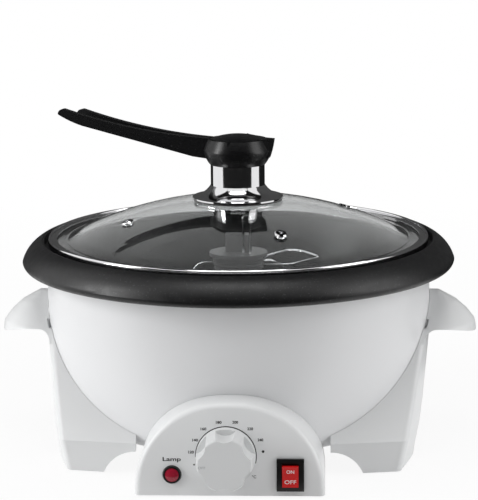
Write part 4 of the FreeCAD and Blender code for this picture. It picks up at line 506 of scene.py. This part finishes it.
# ---------------------------------------------------------------- stage
def shown_rays(tree):
    """1 for rays that show the surface: to the camera, in a reflection or through glass."""
    path = add_node(tree, "ShaderNodeLightPath")
    value = path.outputs["Is Camera Ray"]
    for key in ("Is Glossy Ray", "Is Transmission Ray"):
        most = add_node(tree, "ShaderNodeMath", operation="MAXIMUM")
        tree.links.new(value, most.inputs[0])
        tree.links.new(path.outputs[key], most.inputs[1])
        value = most.outputs[0]
    return value


def sheet(name, corners, tone):
    """A flat stage piece of one dull grey."""
    piece = put(name, mesh(name, corners, [tuple(range(len(corners)))]))
    material = bpy.data.materials.new(name)
    material.use_nodes = True
    piece.data.materials.append(material)
    set_sockets(material.node_tree.nodes["Principled BSDF"], Base_Color=(tone, tone, tone, 1), Roughness=1.0,
                Specular_IOR_Level=0.0)
    return piece


def make_floor():
    """A pale floor that keeps the shadow near the object and fades to white further away."""
    far = FLOOR_REACH
    floor = sheet("floor", [(-far, -far, 0), (far, -far, 0), (far, far, 0), (-far, far, 0)], FLOOR_TONE)
    tree = floor.data.materials[0].node_tree
    place = add_node(tree, "ShaderNodeNewGeometry")
    length = add_node(tree, "ShaderNodeVectorMath", operation="LENGTH")
    tree.links.new(place.outputs["Position"], length.inputs[0])
    fade = add_node(tree, "ShaderNodeMapRange")
    set_sockets(fade, From_Min=FADE_START, From_Max=FADE_END, To_Min=FLOOR_NEAR, To_Max=FLOOR_FAR)
    tree.links.new(length.outputs["Value"], fade.inputs["Value"])
    share = add_node(tree, "ShaderNodeMath", operation="MULTIPLY")
    tree.links.new(shown_rays(tree), share.inputs[0])
    tree.links.new(fade.outputs["Result"], share.inputs[1])
    white = add_node(tree, "ShaderNodeEmission")
    both = add_node(tree, "ShaderNodeMixShader")
    tree.links.new(share.outputs[0], both.inputs[0])
    tree.links.new(tree.nodes["Principled BSDF"].outputs[0], both.inputs[1])
    tree.links.new(white.outputs[0], both.inputs[2])
    tree.links.new(both.outputs[0], tree.nodes["Material Output"].inputs["Surface"])


def hide(card, *rays):
    for ray in rays:
        setattr(card, "visible_" + ray, False)


def make_cards():
    """Dark cards that only mirroring surfaces see, and one that dims the light from the camera's side."""
    for name, (tone, corners) in CARDS.items():
        hide(sheet("card_" + name, corners, tone), "camera", "transmission", "diffuse", "shadow")
    hide(sheet("card_shade", SHADE_CARD, SHADE_TONE), "camera", "transmission", "glossy")


def make_world():
    """White behind the object, and an even dim light on it."""
    world = bpy.data.worlds.new("studio")
    SCENE.world = world
    world.use_nodes = True
    tree = world.node_tree
    tree.nodes.clear()
    dim = add_node(tree, "ShaderNodeBackground")
    set_sockets(dim, Color=(1, 1, 1, 1), Strength=WORLD_STRENGTH)
    white = add_node(tree, "ShaderNodeBackground")
    set_sockets(white, Color=(1, 1, 1, 1))
    both = add_node(tree, "ShaderNodeMixShader")
    tree.links.new(shown_rays(tree), both.inputs[0])
    tree.links.new(dim.outputs[0], both.inputs[1])
    tree.links.new(white.outputs[0], both.inputs[2])
    out = add_node(tree, "ShaderNodeOutputWorld")
    tree.links.new(both.outputs[0], out.inputs["Surface"])


def make_lights():
    """A tall soft box at each side, the left one stronger, and a wide one above the front."""
    for name, place, width, height, watts in LIGHTS:
        data = bpy.data.lights.new(name, "AREA")
        data.shape = "RECTANGLE"
        data.size, data.size_y = width, height
        data.energy = watts
        light = put(name, data)
        light.location = place
        light.rotation_euler = (Vector(LIGHTS_AIM) - Vector(place)).to_track_quat("-Z", "Y").to_euler()


make_camera()
LOOKS = make_looks()
dress(LOOKS)
rolled_edge(LOOKS)
panel_printing(LOOKS)
dial_printing(LOOKS)
rocker_printing(LOOKS)
make_floor()
make_cards()
make_world()
make_lights()
SCENE.view_settings.view_transform = "Standard"
